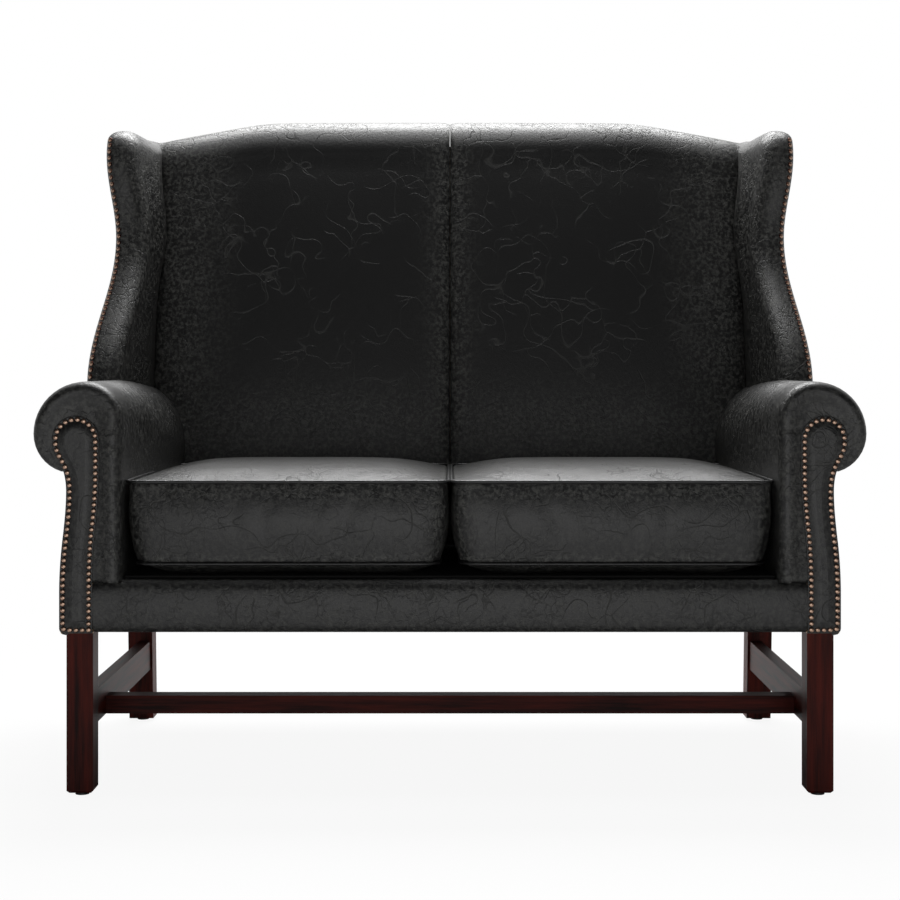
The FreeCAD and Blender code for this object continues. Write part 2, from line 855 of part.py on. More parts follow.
def level_arc_middle(start, top):
    """Middle of the arc from a start point up to a top point where it is level, in a plane of constant x."""
    run, rise = top.y - start.y, top.z - start.z
    radius = (run ** 2 + rise ** 2) / (2 * rise)
    half_angle = math.atan2(rise, abs(run))
    y = top.y - math.copysign(radius * math.sin(half_angle), run)
    return Vector(top.x, y, top.z - radius * (1 - math.cos(half_angle)))


def back_points(x, inset):
    """Points of the back's upright section at x, from the seat up the front and over the crest."""
    top_z = crest_z(x) - inset
    turn_z = crest_z(x) - crest_roll_front
    edge_z = crest_z(x) - crest_roll_back + soft_gap
    low_z = deck_z + soft_gap
    swell_z = low_z + (turn_z - low_z) * back_swell_height
    skin_y = post_back_y + leather - inset
    front = Vector(x, raked(inside_back_y, turn_z) + inset, turn_z)
    edge = Vector(x, raked(skin_y, edge_z), edge_z)
    top = Vector(x, (front.y + edge.y) / 2, top_z)
    return {
        "foot": Vector(x, back_front_y(x, low_z) + inset, low_z),
        "swell": Vector(x, back_front_y(x, swell_z) + inset, swell_z),
        "turn": front,
        "over": level_arc_middle(front, top),
        "top": top,
        "down": level_arc_middle(edge, top),
        "edge": edge,
        "tack": Vector(x, raked(skin_y, edge_z - cover_tack), edge_z - cover_tack),
    }


def back_cover_section(x):
    """Leather and wadding over the inside back and the crest: round outside, flat-sided inside."""
    a, b = back_points(x, 0.0), back_points(x, leather - soft_gap)
    outer = chain([a["foot"], a["swell"], a["turn"]])
    outer += [
        arc(a["turn"], a["over"], a["top"]),
        arc(a["top"], a["down"], a["edge"]),
        line(a["edge"], a["tack"]),
    ]
    return layer(outer, chain(list(b.values())))


def back_pad_section(x):
    """Foam in front of the webbing and over the crest rail, flat-sided."""
    c = back_points(x, leather)
    web_y = post_front_y - webbing_thick - soft_gap
    front = [c[name] for name in ("foot", "swell", "turn", "over", "top", "down", "edge")]
    shelf_z, foot_z = c["edge"].z, c["foot"].z
    rest = [Vector(x, raked(web_y, shelf_z), shelf_z), Vector(x, raked(web_y, foot_z), foot_z)]
    return polygon(front + rest)


def crest_line(drop):
    """Points in the plane y = 0 along the crest, from left to right, at the back's stations."""
    right = [Vector(x, 0, crest_z(x) - drop) for x in back_stations]
    return [Vector(-p.x, 0, p.z) for p in reversed(right[1:])] + right


def back_frame_space():
    """What the padding leaves free for the posts and rails of the back."""
    space = box(0, post_out_x + wood_gap, -FAR, FAR, 0, post_top_z + wood_gap)
    return behind(post_front_y - wood_gap).common(space)


def make_back_frame():
    slab = back_slab(post_front_y, post_back_y, rail_bottom_z, crest_height)
    save_pair("back_post", slab.common(box(post_in_x, post_out_x, -FAR, FAR, 0, post_top_z)))
    crest_low = crest_z(back_pad_half_width) - crest_roll_back - crest_rail_high
    top = crest_line(crest_roll_back)
    ends = [Vector(post_in_x, 0, top[-1].z), Vector(post_in_x, 0, crest_low)]
    ends += [Vector(-post_in_x, 0, crest_low), Vector(-post_in_x, 0, top[0].z)]
    save("crest_rail", through(polygon(top + ends)).common(slab))
    low = deck_z + lower_rail_above_deck
    high = low + lower_rail_high
    save("lower_back_rail", slab.common(box(-post_in_x, post_in_x, -FAR, FAR, low, high)))
    half = centre_post_wide / 2
    save("centre_post", slab.common(box(-half, half, -FAR, FAR, high, crest_low)))
    web = back_slab(post_front_y - webbing_thick, post_front_y, high - webbing_lap, crest_low + webbing_lap)
    straps = []
    for k in range(webbing_per_side):
        x = arm_in_x * (k + 0.5) / webbing_per_side
        straps.append(web.common(box(x - webbing_wide / 2, x + webbing_wide / 2, -FAR, FAR, 0, FAR)))
    save("back_webbing", Part.makeCompound(both(straps)))


def make_outside_back():
    """Leather over the back of the sofa, as wide as arms and wings, from the seat rails to the crest."""
    side_x = arm_out_x - wing_out_back
    roll_z = arm_height - roll_radius
    crest = crest_line(crest_roll_back + cover_tack)
    right = [(side_x, crest[-1].z), (side_x, roll_z), (arm_panel_x, under_roll_z())]
    right = [Vector(x, 0, z) for x, z in right]
    left = [Vector(-p.x, 0, p.z) for p in reversed(right)]
    panel = through(polygon(crest + right + left))
    ear = box(back_pad_half_width + soft_gap, side_x, -FAR, FAR, roll_z, wing_height - leather)
    side = rounded_path(side_corners(0.0), [flare_bend, flare_bend])
    corners = side_corners(0.0)
    middle = [corners[-1], Vector(0, 0, corners[-1].z), Vector(0, 0, corners[0].z), corners[0]]
    body = through(closed(side + chain(middle)))
    arm = arm_block(0.0, deck_z, -FAR, FAR)
    outline = panel.fuse(both([ear, body, arm])).removeSplitter()
    return outline.common(back_slab(post_back_y, post_back_y + leather, rail_bottom_z, crest_height))


def make_back():
    make_back_frame()
    room = arm_space()
    hearts = [Vector(x, FAR, deck_z) for x in back_stations]
    pad = ruled([back_pad_section(x) for x in back_stations], hearts)
    cover = ruled([back_cover_section(x) for x in back_stations], hearts)
    save("back_pad", Part.makeCompound(both([pad.cut(room)])))
    save_pair("inside_back", cover.cut(room))
    save("outside_back", make_outside_back())


# Seat cushions


def cushion_back_y(z):
    """The cushion's back follows the rake of the sofa's back."""
    return raked(inside_back_y, z) - back_crown - cushion_back_gap


def cushion_turns(z, inset):
    """The cushion's plan at height z, inside its fullest plan by an inset."""
    inner = cushion_middle_gap / 2 + inset
    outer = arm_in_x - cushion_side_gap - inset
    front = arm_front_y + cushion_front_setback + inset
    back = cushion_back_y(z) - inset
    corners = [(inner, front), (outer, front), (outer, back), (inner, back)]
    return plan_turns([Vector(x, y, z) for x, y in corners], cushion_corner, cushion_side_draw)


def cushion_rings(thick):
    """Plans of the cushion from the middle of its underside to the top of its crown, inside a thickness."""
    reach = arm_in_x / 2
    under = [(lower_welt_z - cushion_under_crown * rise, cushion_bulge + reach * run)
             for run, rise in reversed(crown_curve)]
    boxing = [(cushion_middle_z, 0.0)]
    crown = [(upper_welt_z + cushion_crown * rise, cushion_bulge + reach * run) for run, rise in crown_curve]
    full = (cushion_boxing + cushion_under_crown + cushion_crown) / 2
    shrink = 1 - thick / full
    return [cushion_turns(cushion_middle_z + (z - cushion_middle_z) * shrink, inset + thick)
            for z, inset in under + boxing + crown]


def piping_ring(z):
    """The piped seam round the cushion at height z."""
    low = z - piping_radius
    up = Vector(0, 0, 2 * piping_radius)
    outside = round_loop(cushion_turns(low, cushion_bulge - piping_stand))
    inside = cut_loop(cushion_turns(low, cushion_bulge + piping_bite))
    return prism(outside, up).cut(prism(inside, up))


def make_cushions():
    piping = [piping_ring(z) for z in (lower_welt_z, upper_welt_z)]
    whole = ruled([soft_loop(turns) for turns in cushion_rings(0.0)])
    hollow = ruled([cut_loop(turns) for turns in cushion_rings(leather)])
    core = ruled([cut_loop(turns) for turns in cushion_rings(leather + soft_gap)])
    save_pair("cushion_core", core)
    save_pair("cushion_cover", whole.cut([hollow] + piping))
    save_pair("cushion_piping", Part.makeCompound(piping))


# Decorative nails


def nail(place, axis):
    """One nail head as a low many-sided dome."""
    along = Vector(axis).normalize()
    side = along.cross(Vector(0, 0, 1)).normalize()
    up = side.cross(along)
    rim = []
    for k in range(nail_sides):
        angle = 2 * math.pi * k / nail_sides
        out = side * math.cos(angle) + up * math.sin(angle)
        rim.append(place + out * nail_radius - along * nail_bite)
    top = place + along * (nail_crown - nail_bite)
    faces = [Part.Face(polygon(rim))]
    for a, b in zip(rim, rim[1:] + rim[:1]):
        faces.append(Part.Face(polygon([a, b, top])))
    return Part.Solid(Part.Shell(faces))


def arm_nail_spots():
    """Places evenly spaced round the facing, just inside its edge."""
    path = facing_wire(nail_radius + nail_edge_margin)
    count = round(path.Length / nail_pitch)
    return [Vector(p.x, arm_front_y, p.z) for p in path.discretize(Number=count + 1)[:-1]]


def wing_nail_spots():
    """Places and outward directions along the outer shoulder of the wing's front edge."""
    spots = []
    z = arm_height + wing_nail_pitch / 2
    while z < wing_ear_height + wing_ear_round / 2:
        c = wing_corners(z, 0.0)
        centre = Vector(c["nose_out"].x, c["turn_out"].y, z)
        spots.append((c["mid_out"], c["mid_out"] - centre))
        rise = wing_corners(z + 1, 0.0)["mid_out"] - c["mid_out"]
        z += wing_nail_pitch / rise.Length
    return spots


def make_nails():
    nails = [nail(p, Vector(0, -1, 0)) for p in arm_nail_spots()]
    nails += [nail(p, axis) for p, axis in wing_nail_spots()]
    save_pair("nail_heads", Part.makeCompound(nails))


make_base()
make_seat_frame()
make_dust_cover()
make_suspension()
make_border()
make_arms()
make_wings()
make_back()
make_cushions()
make_nails()
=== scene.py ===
# %% [markdown]
# # A wing-back sofa in antiqued black leather
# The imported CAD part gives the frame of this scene: wooden legs, rails and boards are shown as
# they are, and every soft piece is made again here with its padding, seams and creases. All
# lengths are metres, in the part's own frame: +Z up, the sitter faces -Y, the origin on the floor
# under the middle.

# %% Load the frame
import math

import bmesh
import bpy
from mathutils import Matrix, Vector, noise


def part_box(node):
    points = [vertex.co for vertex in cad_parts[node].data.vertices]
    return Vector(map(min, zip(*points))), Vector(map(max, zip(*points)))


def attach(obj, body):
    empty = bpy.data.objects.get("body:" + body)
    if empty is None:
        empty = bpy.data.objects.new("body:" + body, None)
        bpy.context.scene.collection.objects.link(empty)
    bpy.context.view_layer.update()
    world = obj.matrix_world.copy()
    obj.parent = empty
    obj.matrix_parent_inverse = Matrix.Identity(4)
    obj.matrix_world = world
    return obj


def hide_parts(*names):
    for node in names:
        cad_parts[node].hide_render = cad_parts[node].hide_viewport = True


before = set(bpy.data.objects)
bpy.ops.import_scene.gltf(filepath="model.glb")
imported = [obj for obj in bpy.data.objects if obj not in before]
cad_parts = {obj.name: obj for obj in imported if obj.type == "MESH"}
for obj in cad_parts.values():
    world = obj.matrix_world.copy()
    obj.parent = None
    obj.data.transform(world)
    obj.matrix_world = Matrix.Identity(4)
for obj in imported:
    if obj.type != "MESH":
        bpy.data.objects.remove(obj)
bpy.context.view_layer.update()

# %% [markdown]
# ## Small tools
# Upholstery is a skin pulled over padding. A good way to draw it is a row of sections: each
# section is a closed ring of points, and a skin runs from ring to ring. Modelling by hand with
# subdivision would work too, but rings follow the same few radii as the CAD part, so the two stay
# in step.

# %% Mixing, easing and skins
MM = 0.001


def mix(a, b, t):
    return a + (b - a) * t


def ease(t):
    """0 to 1 with a soft start and end."""
    t = min(max(t, 0.0), 1.0)
    return t * t * (3 - 2 * t)


def quarter(centre, radii, start, end, count):
    """Points of an ellipse between two angles in degrees, without the last one."""
    points = []
    for k in range(count):
        angle = math.radians(start + (end - start) * k / count)
        points.append((centre[0] + radii[0] * math.cos(angle),
                       centre[1] + radii[1] * math.sin(angle)))
    return points


def along(a, b, count):
    """Points of a straight line in any number of dimensions, without the last one."""
    return [tuple(mix(u, v, k / count) for u, v in zip(a, b)) for k in range(count)]


def skin(name, rings, side=1, wear=None):
    """A smooth closed mesh through rings of points.

    side -1 mirrors it, and wear(x, y, z) says how rubbed the hide is.
    """
    mesh = bpy.data.meshes.new(name)
    work = bmesh.new()
    rows = [[work.verts.new((side * x, y, z)) for x, y, z in ring] for ring in rings]
    for low, high in zip(rows, rows[1:]):
        for k in range(len(low)):
            n = (k + 1) % len(low)
            work.faces.new((low[k], low[n], high[n], high[k])).smooth = True
    for row in (rows[0], rows[-1]):
        cap = work.faces.new(row)
        for edge in cap.edges:
            edge.smooth = False
    bmesh.ops.recalc_face_normals(work, faces=work.faces)
    work.to_mesh(mesh)
    work.free()
    if wear:
        mark_wear(mesh, wear)
    piece = bpy.data.objects.new(name, mesh)
    bpy.context.scene.collection.objects.link(piece)
    return piece


def mark_wear(mesh, wear):
    """Keep the amount of rubbing, 0 to 1, on every point for the leather to read."""
    marks = mesh.attributes.new("wear", "FLOAT", "POINT")
    for point, mark in zip(mesh.vertices, marks.data):
        mark.value = min(max(wear(abs(point.co.x), point.co.y, point.co.z), 0.0), 1.0)


def dress(piece, body, material, nodes=()):
    """Give a finished piece its material and its body, and hide the CAD nodes that it stands for.
    """
    piece.data.materials.clear()
    piece.data.materials.append(material)
    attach(piece, body)
    if nodes:
        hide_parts(*nodes)
    print(piece.name, len(piece.data.vertices), "vertices")
    return piece


# %% [markdown]
# ## Materials
# Every material is a small tree of nodes. Drawing the trees by hand would hide their numbers in
# menus, so one helper writes a node, its settings and its links as a plain line. The settings that
# come back often have names.

# %% Colour and node helpers


def colour(text):
    """A linear colour from an sRGB hex code."""
    parts = [int(text[k:k + 2], 16) / 255 for k in (1, 3, 5)]
    return [p / 12.92 if p <= 0.04045 else ((p + 0.055) / 1.055) ** 2.4 for p in parts] + [1.0]


def node(tree, kind, settings=None, **inputs):
    """Add a node, set its properties, and set or link its inputs.

    An input goes by its name, with spaces written as _, or by its number as i0, i1 and so on.
    """
    made = tree.nodes.new(kind)
    for name, value in (settings or {}).items():
        setattr(made, name, value)
    for name, value in inputs.items():
        by_number = name[0] == "i" and name[1:].isdigit()
        socket = made.inputs[int(name[1:]) if by_number else name.replace("_", " ")]
        if isinstance(value, bpy.types.NodeSocket):
            tree.links.new(value, socket)
        else:
            socket.default_value = value
    return made


def new_material(name):
    """An empty material with its shader and object coordinates."""
    material = bpy.data.materials.new(name)
    material.use_nodes = True
    tree = material.node_tree
    shader = tree.nodes["Principled BSDF"]
    place = node(tree, "ShaderNodeTexCoord").outputs["Object"]
    return material, tree, shader, place


MULTIPLY = {"operation": "MULTIPLY"}
MAXIMUM = {"operation": "MAXIMUM"}
SUBTRACT = {"operation": "SUBTRACT"}
LENGTH = {"operation": "LENGTH"}
SMOOTH = {"interpolation_type": "SMOOTHSTEP"}
COLOURS = {"data_type": "RGBA"}

# %% [markdown]
# ## Leather
# Antiqued hide is dyed black, then glazed and tumbled, so that fine creases break the glaze and
# show a little paler. Those veins are rougher than the glaze: on a dark face they look pale, and
# inside a highlight they look dark. A photograph of real leather would be an image texture; here
# cells and noise make the same marks at true size.

# %% Leather


def wander(tree, place, size_mm, reach_mm, detail):
    """The place, pushed about by noise so that straight things bend."""
    drift = node(tree, "ShaderNodeTexNoise", Vector=place, Scale=1000 / size_mm, Detail=detail,
                 Roughness=0.6)
    centred = node(tree, "ShaderNodeVectorMath", SUBTRACT, i0=drift.outputs["Color"],
                   i1=(0.5, 0.5, 0.5))
    shift = node(tree, "ShaderNodeVectorMath", {"operation": "SCALE"}, i0=centred.outputs[0],
                 Scale=reach_mm * MM)
    moved = node(tree, "ShaderNodeVectorMath", {"operation": "ADD"}, i0=place, i1=shift.outputs[0])
    return moved.outputs[0]


def only_where(tree, mask, place, patch_mm, cover):
    """Keep a mask in some patches of the hide only."""
    patch = node(tree, "ShaderNodeTexNoise", Vector=place, Scale=1000 / patch_mm, Detail=3.0)
    shown = node(tree, "ShaderNodeMapRange", Value=patch.outputs[0], From_Min=cover,
                 From_Max=cover + 0.10)
    return node(tree, "ShaderNodeMath", MULTIPLY, i0=mask, i1=shown.outputs[0]).outputs[0]


def thin_line(tree, value, width):
    """1 where a value is nearly 0, falling to 0 at the given width."""
    return node(tree, "ShaderNodeMapRange", SMOOTH, Value=value, From_Min=0.0, From_Max=width,
                To_Min=1.0, To_Max=0.0).outputs[0]


def branching_veins(tree, place, cell_mm, width_mm, patch_mm, cover):
    """Cracks that fork: the borders of bent cells, 1 in the crack and 0 beside it."""
    moved = wander(tree, place, cell_mm * 0.9, cell_mm * 1.1, 2.0)
    cells = node(tree, "ShaderNodeTexVoronoi", {"feature": "DISTANCE_TO_EDGE"}, Vector=moved,
                 Scale=1000 / cell_mm)
    cracks = thin_line(tree, cells.outputs["Distance"], width_mm / cell_mm)
    return only_where(tree, cracks, place, patch_mm, cover)


def hair_lines(tree, place, size_mm, width, patch_mm, cover, seed):
    """Long wandering creases: the level lines of a noise."""
    field = node(tree, "ShaderNodeTexNoise", {"noise_dimensions": "4D"}, Vector=place, W=seed,
                 Scale=1000 / size_mm, Detail=1.0, Roughness=0.45)
    level = node(tree, "ShaderNodeMath", SUBTRACT, i0=field.outputs[0], i1=0.5)
    near = node(tree, "ShaderNodeMath", {"operation": "ABSOLUTE"}, i0=level.outputs[0])
    return only_where(tree, thin_line(tree, near.outputs[0], width), place, patch_mm, cover)


def long_veins(tree, place):
    """Forked cracks and two sizes of wandering creases."""
    forks = branching_veins(tree, place, cell_mm=95, width_mm=1.5, patch_mm=120, cover=0.46)
    hairs = hair_lines(tree, place, size_mm=110, width=0.0052, patch_mm=120, cover=0.45, seed=3.0)
    wisps = hair_lines(tree, place, size_mm=75, width=0.0058, patch_mm=90, cover=0.47, seed=8.0)
    lines = node(tree, "ShaderNodeMath", MAXIMUM, i0=hairs, i1=wisps)
    return node(tree, "ShaderNodeMath", MAXIMUM, i0=forks, i1=lines.outputs[0]).outputs[0]


def make_leather():
    """Glazed black hide: a sheen, long veins, a fine crackle where it is rubbed, and a grain."""
    material, tree, shader, place = new_material("antiqued_black_leather")
    worn = node(tree, "ShaderNodeAttribute", {"attribute_name": "wear"}).outputs["Fac"]
    veins = long_veins(tree, place)
    crackle = branching_veins(tree, place, cell_mm=17, width_mm=1.8, patch_mm=60, cover=0.44)
    cracks = node(tree, "ShaderNodeMath", MULTIPLY, i0=crackle, i1=worn).outputs[0]
    creases = node(tree, "ShaderNodeMath", MAXIMUM, i0=veins, i1=cracks).outputs[0]
    # Three flecks to 20 mm, and 21 pebbles of the grain to 50 mm.
    fleck_mm, pebble_mm = 20 / 3, 50 / 21
    fleck = node(tree, "ShaderNodeTexNoise", Vector=place, Scale=1000 / fleck_mm, Detail=5.0,
                 Roughness=0.65).outputs[0]
    flecks = node(tree, "ShaderNodeMapRange", Value=fleck, From_Min=0.44, From_Max=0.66)
    rubbed = node(tree, "ShaderNodeMath", MULTIPLY, i0=flecks.outputs[0], i1=worn).outputs[0]

    glazed = node(tree, "ShaderNodeMix", COLOURS, i0=rubbed, i6=colour("#0e0e0e"),
                  i7=colour("#545451"))
    faint = node(tree, "ShaderNodeMath", MULTIPLY, i0=cracks, i1=0.35)
    pale = node(tree, "ShaderNodeMath", MAXIMUM, i0=veins, i1=faint.outputs[0])
    veined = node(tree, "ShaderNodeMix", COLOURS, i0=pale.outputs[0], i6=glazed.outputs[2],
                  i7=colour("#3d3d3c"))
    tree.links.new(veined.outputs[2], shader.inputs["Base Color"])

    matt = node(tree, "ShaderNodeMath", MAXIMUM, i0=veins, i1=rubbed)
    rough = node(tree, "ShaderNodeMapRange", Value=matt.outputs[0], To_Min=0.42, To_Max=0.62)
    tree.links.new(rough.outputs[0], shader.inputs["Roughness"])
    worn_dull = node(tree, "ShaderNodeMath", MULTIPLY, i0=rubbed, i1=0.5)
    dull = node(tree, "ShaderNodeMath", MAXIMUM, i0=creases, i1=worn_dull.outputs[0])
    sheen = node(tree, "ShaderNodeMapRange", Value=dull.outputs[0], To_Min=0.5, To_Max=0.14)
    tree.links.new(sheen.outputs[0], shader.inputs["Specular IOR Level"])
    shader.inputs["IOR"].default_value = 1.5

    pebble = node(tree, "ShaderNodeTexVoronoi", Vector=place, Scale=1000 / pebble_mm)
    grain = node(tree, "ShaderNodeBump", Strength=0.40, Distance=0.4 * MM,
                 Height=pebble.outputs["Distance"])
    sunk = node(tree, "ShaderNodeMath", SUBTRACT, i0=fleck, i1=creases)
    relief = node(tree, "ShaderNodeBump", Strength=0.65, Distance=0.6 * MM, Height=sunk.outputs[0],
                  Normal=grain.outputs[0])
    tree.links.new(relief.outputs[0], shader.inputs["Normal"])
    return material


leather = make_leather()
print(leather.name, len(leather.node_tree.nodes), "nodes")

# %% [markdown]
# ## Wood, brass and the rest
# The legs are stained mahogany under satin lacquer: near black with red streaks along the grain.
# The nails are pressed caps in old gold, with a red-brown rim painted in: the dark reflection
# round each domed cap. Inner pieces are hardly seen, so they only get a plain true colour.

# %% Wood and small materials


def make_wood(name, grain_axis):
    """Dark red-brown streaks drawn out along one axis."""
    material, tree, shader, place = new_material(name)
    # Nine streaks to 100 mm, each about 200 mm long.
    streak_mm, streak_length_mm = 100 / 9, 200
    stretch = [1000 / streak_mm] * 3
    stretch[grain_axis] = 1000 / streak_length_mm
    drawn = node(tree, "ShaderNodeMapping", Vector=place, Scale=stretch)
    streaks = node(tree, "ShaderNodeTexNoise", Vector=drawn.outputs[0], Scale=1.0, Detail=6.0,
                   Roughness=0.65)
    stain = node(tree, "ShaderNodeValToRGB", Fac=streaks.outputs[0])
    dark, light = stain.color_ramp.elements
    dark.position, dark.color = 0.36, colour("#1c0604")
    light.position, light.color = 0.68, colour("#55190f")
    tree.links.new(stain.outputs[0], shader.inputs["Base Color"])
    shader.inputs["Roughness"].default_value = 0.5
    shader.inputs["Specular IOR Level"].default_value = 0.12
    pores = node(tree, "ShaderNodeBump", Strength=0.15, Distance=0.3 * MM,
                 Height=streaks.outputs[0])
    tree.links.new(pores.outputs[0], shader.inputs["Normal"])
    return material


def make_plain(name, code, roughness, metallic=0.0):
    """One even colour."""
    material, _, shader, _ = new_material(name)
    shader.inputs["Base Color"].default_value = colour(code)
    shader.inputs["Roughness"].default_value = roughness
    shader.inputs["Metallic"].default_value = metallic
    return material


def make_brass():
    """Pressed caps of pale metal, the rim painted red-brown as the dome's dark edge reflection."""
    material, tree, shader, _ = new_material("old_gold_brass")
    rim = node(tree, "ShaderNodeAttribute", {"attribute_name": "rim"}).outputs["Fac"]
    # Painted reflection: the outer part of each cap is coloured red-brown to stand for its dark
    # edge.
    painted_rim_reflection = node(tree, "ShaderNodeMapRange", Value=rim, From_Min=0.55, From_Max=0.9)
    metal = node(tree, "ShaderNodeMix", COLOURS, i0=painted_rim_reflection.outputs[0], i6=colour("#b89a86"),
                 i7=colour("#3a160c"))
    tree.links.new(metal.outputs[2], shader.inputs["Base Color"])
    shader.inputs["Metallic"].default_value = 1.0
    shader.inputs["Roughness"].default_value = 0.34
    return material


brass = make_brass()
upright_wood = make_wood("mahogany_upright_grain", 2)
cross_wood = make_wood("mahogany_cross_grain", 0)
side_wood = make_wood("mahogany_side_grain", 1)
beech = make_plain("raw_beech", "#c9a577", 0.6)
steel = make_plain("spring_steel", "#8a8a8c", 0.4, 1.0)
plastic = make_plain("moulded_glide", "#202020", 0.5)
cloth = make_plain("black_deck_cloth", "#0c0c0c", 0.9)
webbing = make_plain("woven_webbing", "#8c7350", 0.85)
print(len(bpy.data.materials), "materials so far")

# %% [markdown]
# ## The wooden pieces
# These are the CAD nodes themselves. Only a narrow bevel is added on the legs and stretchers,
# because a sanded edge catches a thin line of light that a mathematically sharp edge never shows.

# %% Dress the CAD nodes
wooden = {"front_leg": upright_wood, "rear_leg": upright_wood,
          "side_stretcher": side_wood, "cross_stretcher": cross_wood}
plain = {"foot_glides": plastic, "leg_bolts": steel, "seat_springs": steel, "spring_clips": steel,
         "back_webbing": webbing, "seat_platform": cloth, "dust_cover": cloth}


def stem(name):
    return name.removesuffix("_left").removesuffix("_right")


for name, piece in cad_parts.items():
    material = wooden.get(stem(name)) or plain.get(name) or beech
    piece.data.materials.clear()
    piece.data.materials.append(material)
    if stem(name) in wooden:
        bevel = piece.modifiers.new("sanded_edges", "BEVEL")
        bevel.width = 2.5 * MM
        bevel.segments = 3
        bevel.limit_method = "ANGLE"
        bevel.harden_normals = True

# %% [markdown]
# ## The leaning back
# The back leans, and arms, wings and cushions all end against it. Its planes are worked out once,
# from the box of the outside panel and the slope of the posts.

# %% The leaning back
_, outside_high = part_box("outside_back")
rake = 0.2035
rail_z = 333 * MM
panel_gap = 2 * MM
back_depth = 131 * MM
post_back_y = outside_high.y - rake * (outside_high.z - rail_z) - panel_gap
inside_back_y = post_back_y - back_depth
print("planes of the back", round(post_back_y, 4), round(inside_back_y, 4))


def raked(y, z):
    """A plane of the back at height z."""
    return y + rake * max(z - rail_z, 0.0)


# %% [markdown]
# ## Arms
# The inner arm and the scroll are one hide, pulled from the seat over the padding and in under
# the roll. Towards the back the padding grows fuller, so the shoulder turns from a tight curve
# into a wide one. At the front the leather rolls over a rim and dips to the nailed facing.

# %% Arm
arm_low, arm_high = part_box("arm_cover_right")
panel_low, panel_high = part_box("outside_arm_right")
front_y = arm_low.y
arm_in_x, arm_out_x = arm_low.x, arm_high.x
arm_foot_z, arm_top_z = arm_low.z, arm_high.z
roll_height = 83 * MM
under_radius = 63 * MM
under_angle = 82
roll_z = arm_top_z - roll_height
under_x = arm_out_x - under_radius
head_x = arm_out_x - 69 * MM


def arm_ring(y, share, inset):
    """The arm's section at a depth. share is 0 at the front and 1 at the back."""
    t = ease(share)
    inner = arm_in_x + mix(0, -18 * MM, t) + inset
    ridge = arm_out_x - mix(roll_height, 34 * MM, t)
    shoulder_z = arm_top_z - mix(58 * MM, 132 * MM, t)
    top = arm_top_z - inset
    under = quarter((under_x, roll_z), (under_radius - inset,) * 2, 0, -under_angle, 9)
    ring = along((inner, arm_foot_z), (inner, shoulder_z), 56)
    ring += quarter((ridge, shoulder_z), (ridge - inner, top - shoulder_z), 180, 90, 14)
    ring += quarter((ridge, roll_z), (arm_out_x - inset - ridge, top - roll_z), 90, 0, 12)
    hidden_x = panel_low.x - 6 * MM
    ring += under + [(hidden_x, under[-1][1]), (hidden_x, arm_foot_z)]
    return [(x, y, z) for x, z in ring]


def rim_y(deep, k, count):
    """Depth of a point of the front rim, which is flat under the roll to leave room for nails."""
    under_start = count - 12
    flat = ease((k - under_start) / 5)
    return front_y + mix(deep, max(deep, 1.4), flat) * MM


def pull(x, y, z):
    """Shallow folds across the arm where the hide is stretched over the roll."""
    across = 1 - abs(math.sin(y * 100 + 2.2 * noise.noise(Vector((x * 5, y * 6, z * 5)))))
    upper = ease((z - 0.53) / 0.08)
    patchy = 0.65 + 0.5 * noise.noise(Vector((x * 9, y * 14, 3.0)))
    return 6.0 * MM * across ** 1.7 * upper * patchy * ease((y - front_y - 0.04) / 0.08)


def front_crease(x, z):
    """The short seam across the arm's front, where the scroll's band meets the inner arm."""
    seam_z = 582 * MM
    return 3.0 * MM * math.exp(-((z - seam_z) / (2.6 * MM)) ** 2) * (1 if x < head_x else 0)


def arm_wear(x, y, z):
    return 0.75 - 0.35 * ease((z - 0.60) / 0.05)


def make_arm(name, side):
    """Rings out of the facing, over the front rim and back along the roll."""
    rim = [(1.4, 48), (1.3, 34), (-1.6, 28), (-4.6, 21), (-5.8, 15), (-5.0, 10), (-2.0, 5.5),
           (3.0, 2.2), (10.0, 0.5), (24.0, 0.0)]
    rings = []
    for deep, inset in rim:
        ring = arm_ring(front_y, 0.0, inset * MM)
        rings.append([(x, rim_y(deep, k, len(ring)), z) for k, (x, y, z) in enumerate(ring)])
    board = front_y + 1.6 * MM
    rings[:7] = [[(x, min(y + front_crease(x, z), board), z) for x, y, z in ring]
                 for ring in rings[:7]]
    steps = 130
    for k in range(1, steps + 1):
        share = k / steps
        ring = []
        for x, y, z in arm_ring(front_y + 24 * MM, share, 0.0):
            y = mix(y, raked(post_back_y, z), share)
            deep = pull(x, y, z)
            away = Vector((x - head_x, z - roll_z)).normalized()
            ring.append((x - deep * away.x, y, z - deep * away.y))
        rings.append(ring)
    piece = skin(f"arm_{name}", rings, side, arm_wear)
    nodes = [f"arm_cover_{name}", f"arm_pad_{name}"]
    return dress(piece, "frame", leather, nodes)


for name, side in (("right", 1), ("left", -1)):
    make_arm(name, side)

# %% [markdown]
# ## Facing and outer side of the arm
# The facing is a thin padded panel cut to the scroll. Its edge lies under the row of nails, so it
# is drawn as loops that step inwards from the edge and rise to a soft middle.

# %% Facing
facing_low, facing_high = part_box("arm_facing_right")
head_radius = 37 * MM
facing_foot = 63.2 * MM
head_z = facing_high.z - head_radius
panel_x = panel_high.x - 11 * MM
under_z = roll_z - under_radius * math.sin(math.radians(under_angle))
print("outside arm", [round(v, 4) for v in (*panel_low, *panel_high)], "roll", round(under_z, 4))
flare_z = panel_low.z + 106 * MM
bend_z = mix(flare_z, under_z, 0.61)


def soften(points, rounds=3):
    """Cut the corners of an open path again and again until it runs smoothly."""
    for _ in range(rounds):
        cut = [points[0]]
        for a, b in zip(points, points[1:]):
            cut += [tuple(mix(u, v, t) for u, v in zip(a, b)) for t in (0.25, 0.75)]
        points = cut + [points[-1]]
    return points


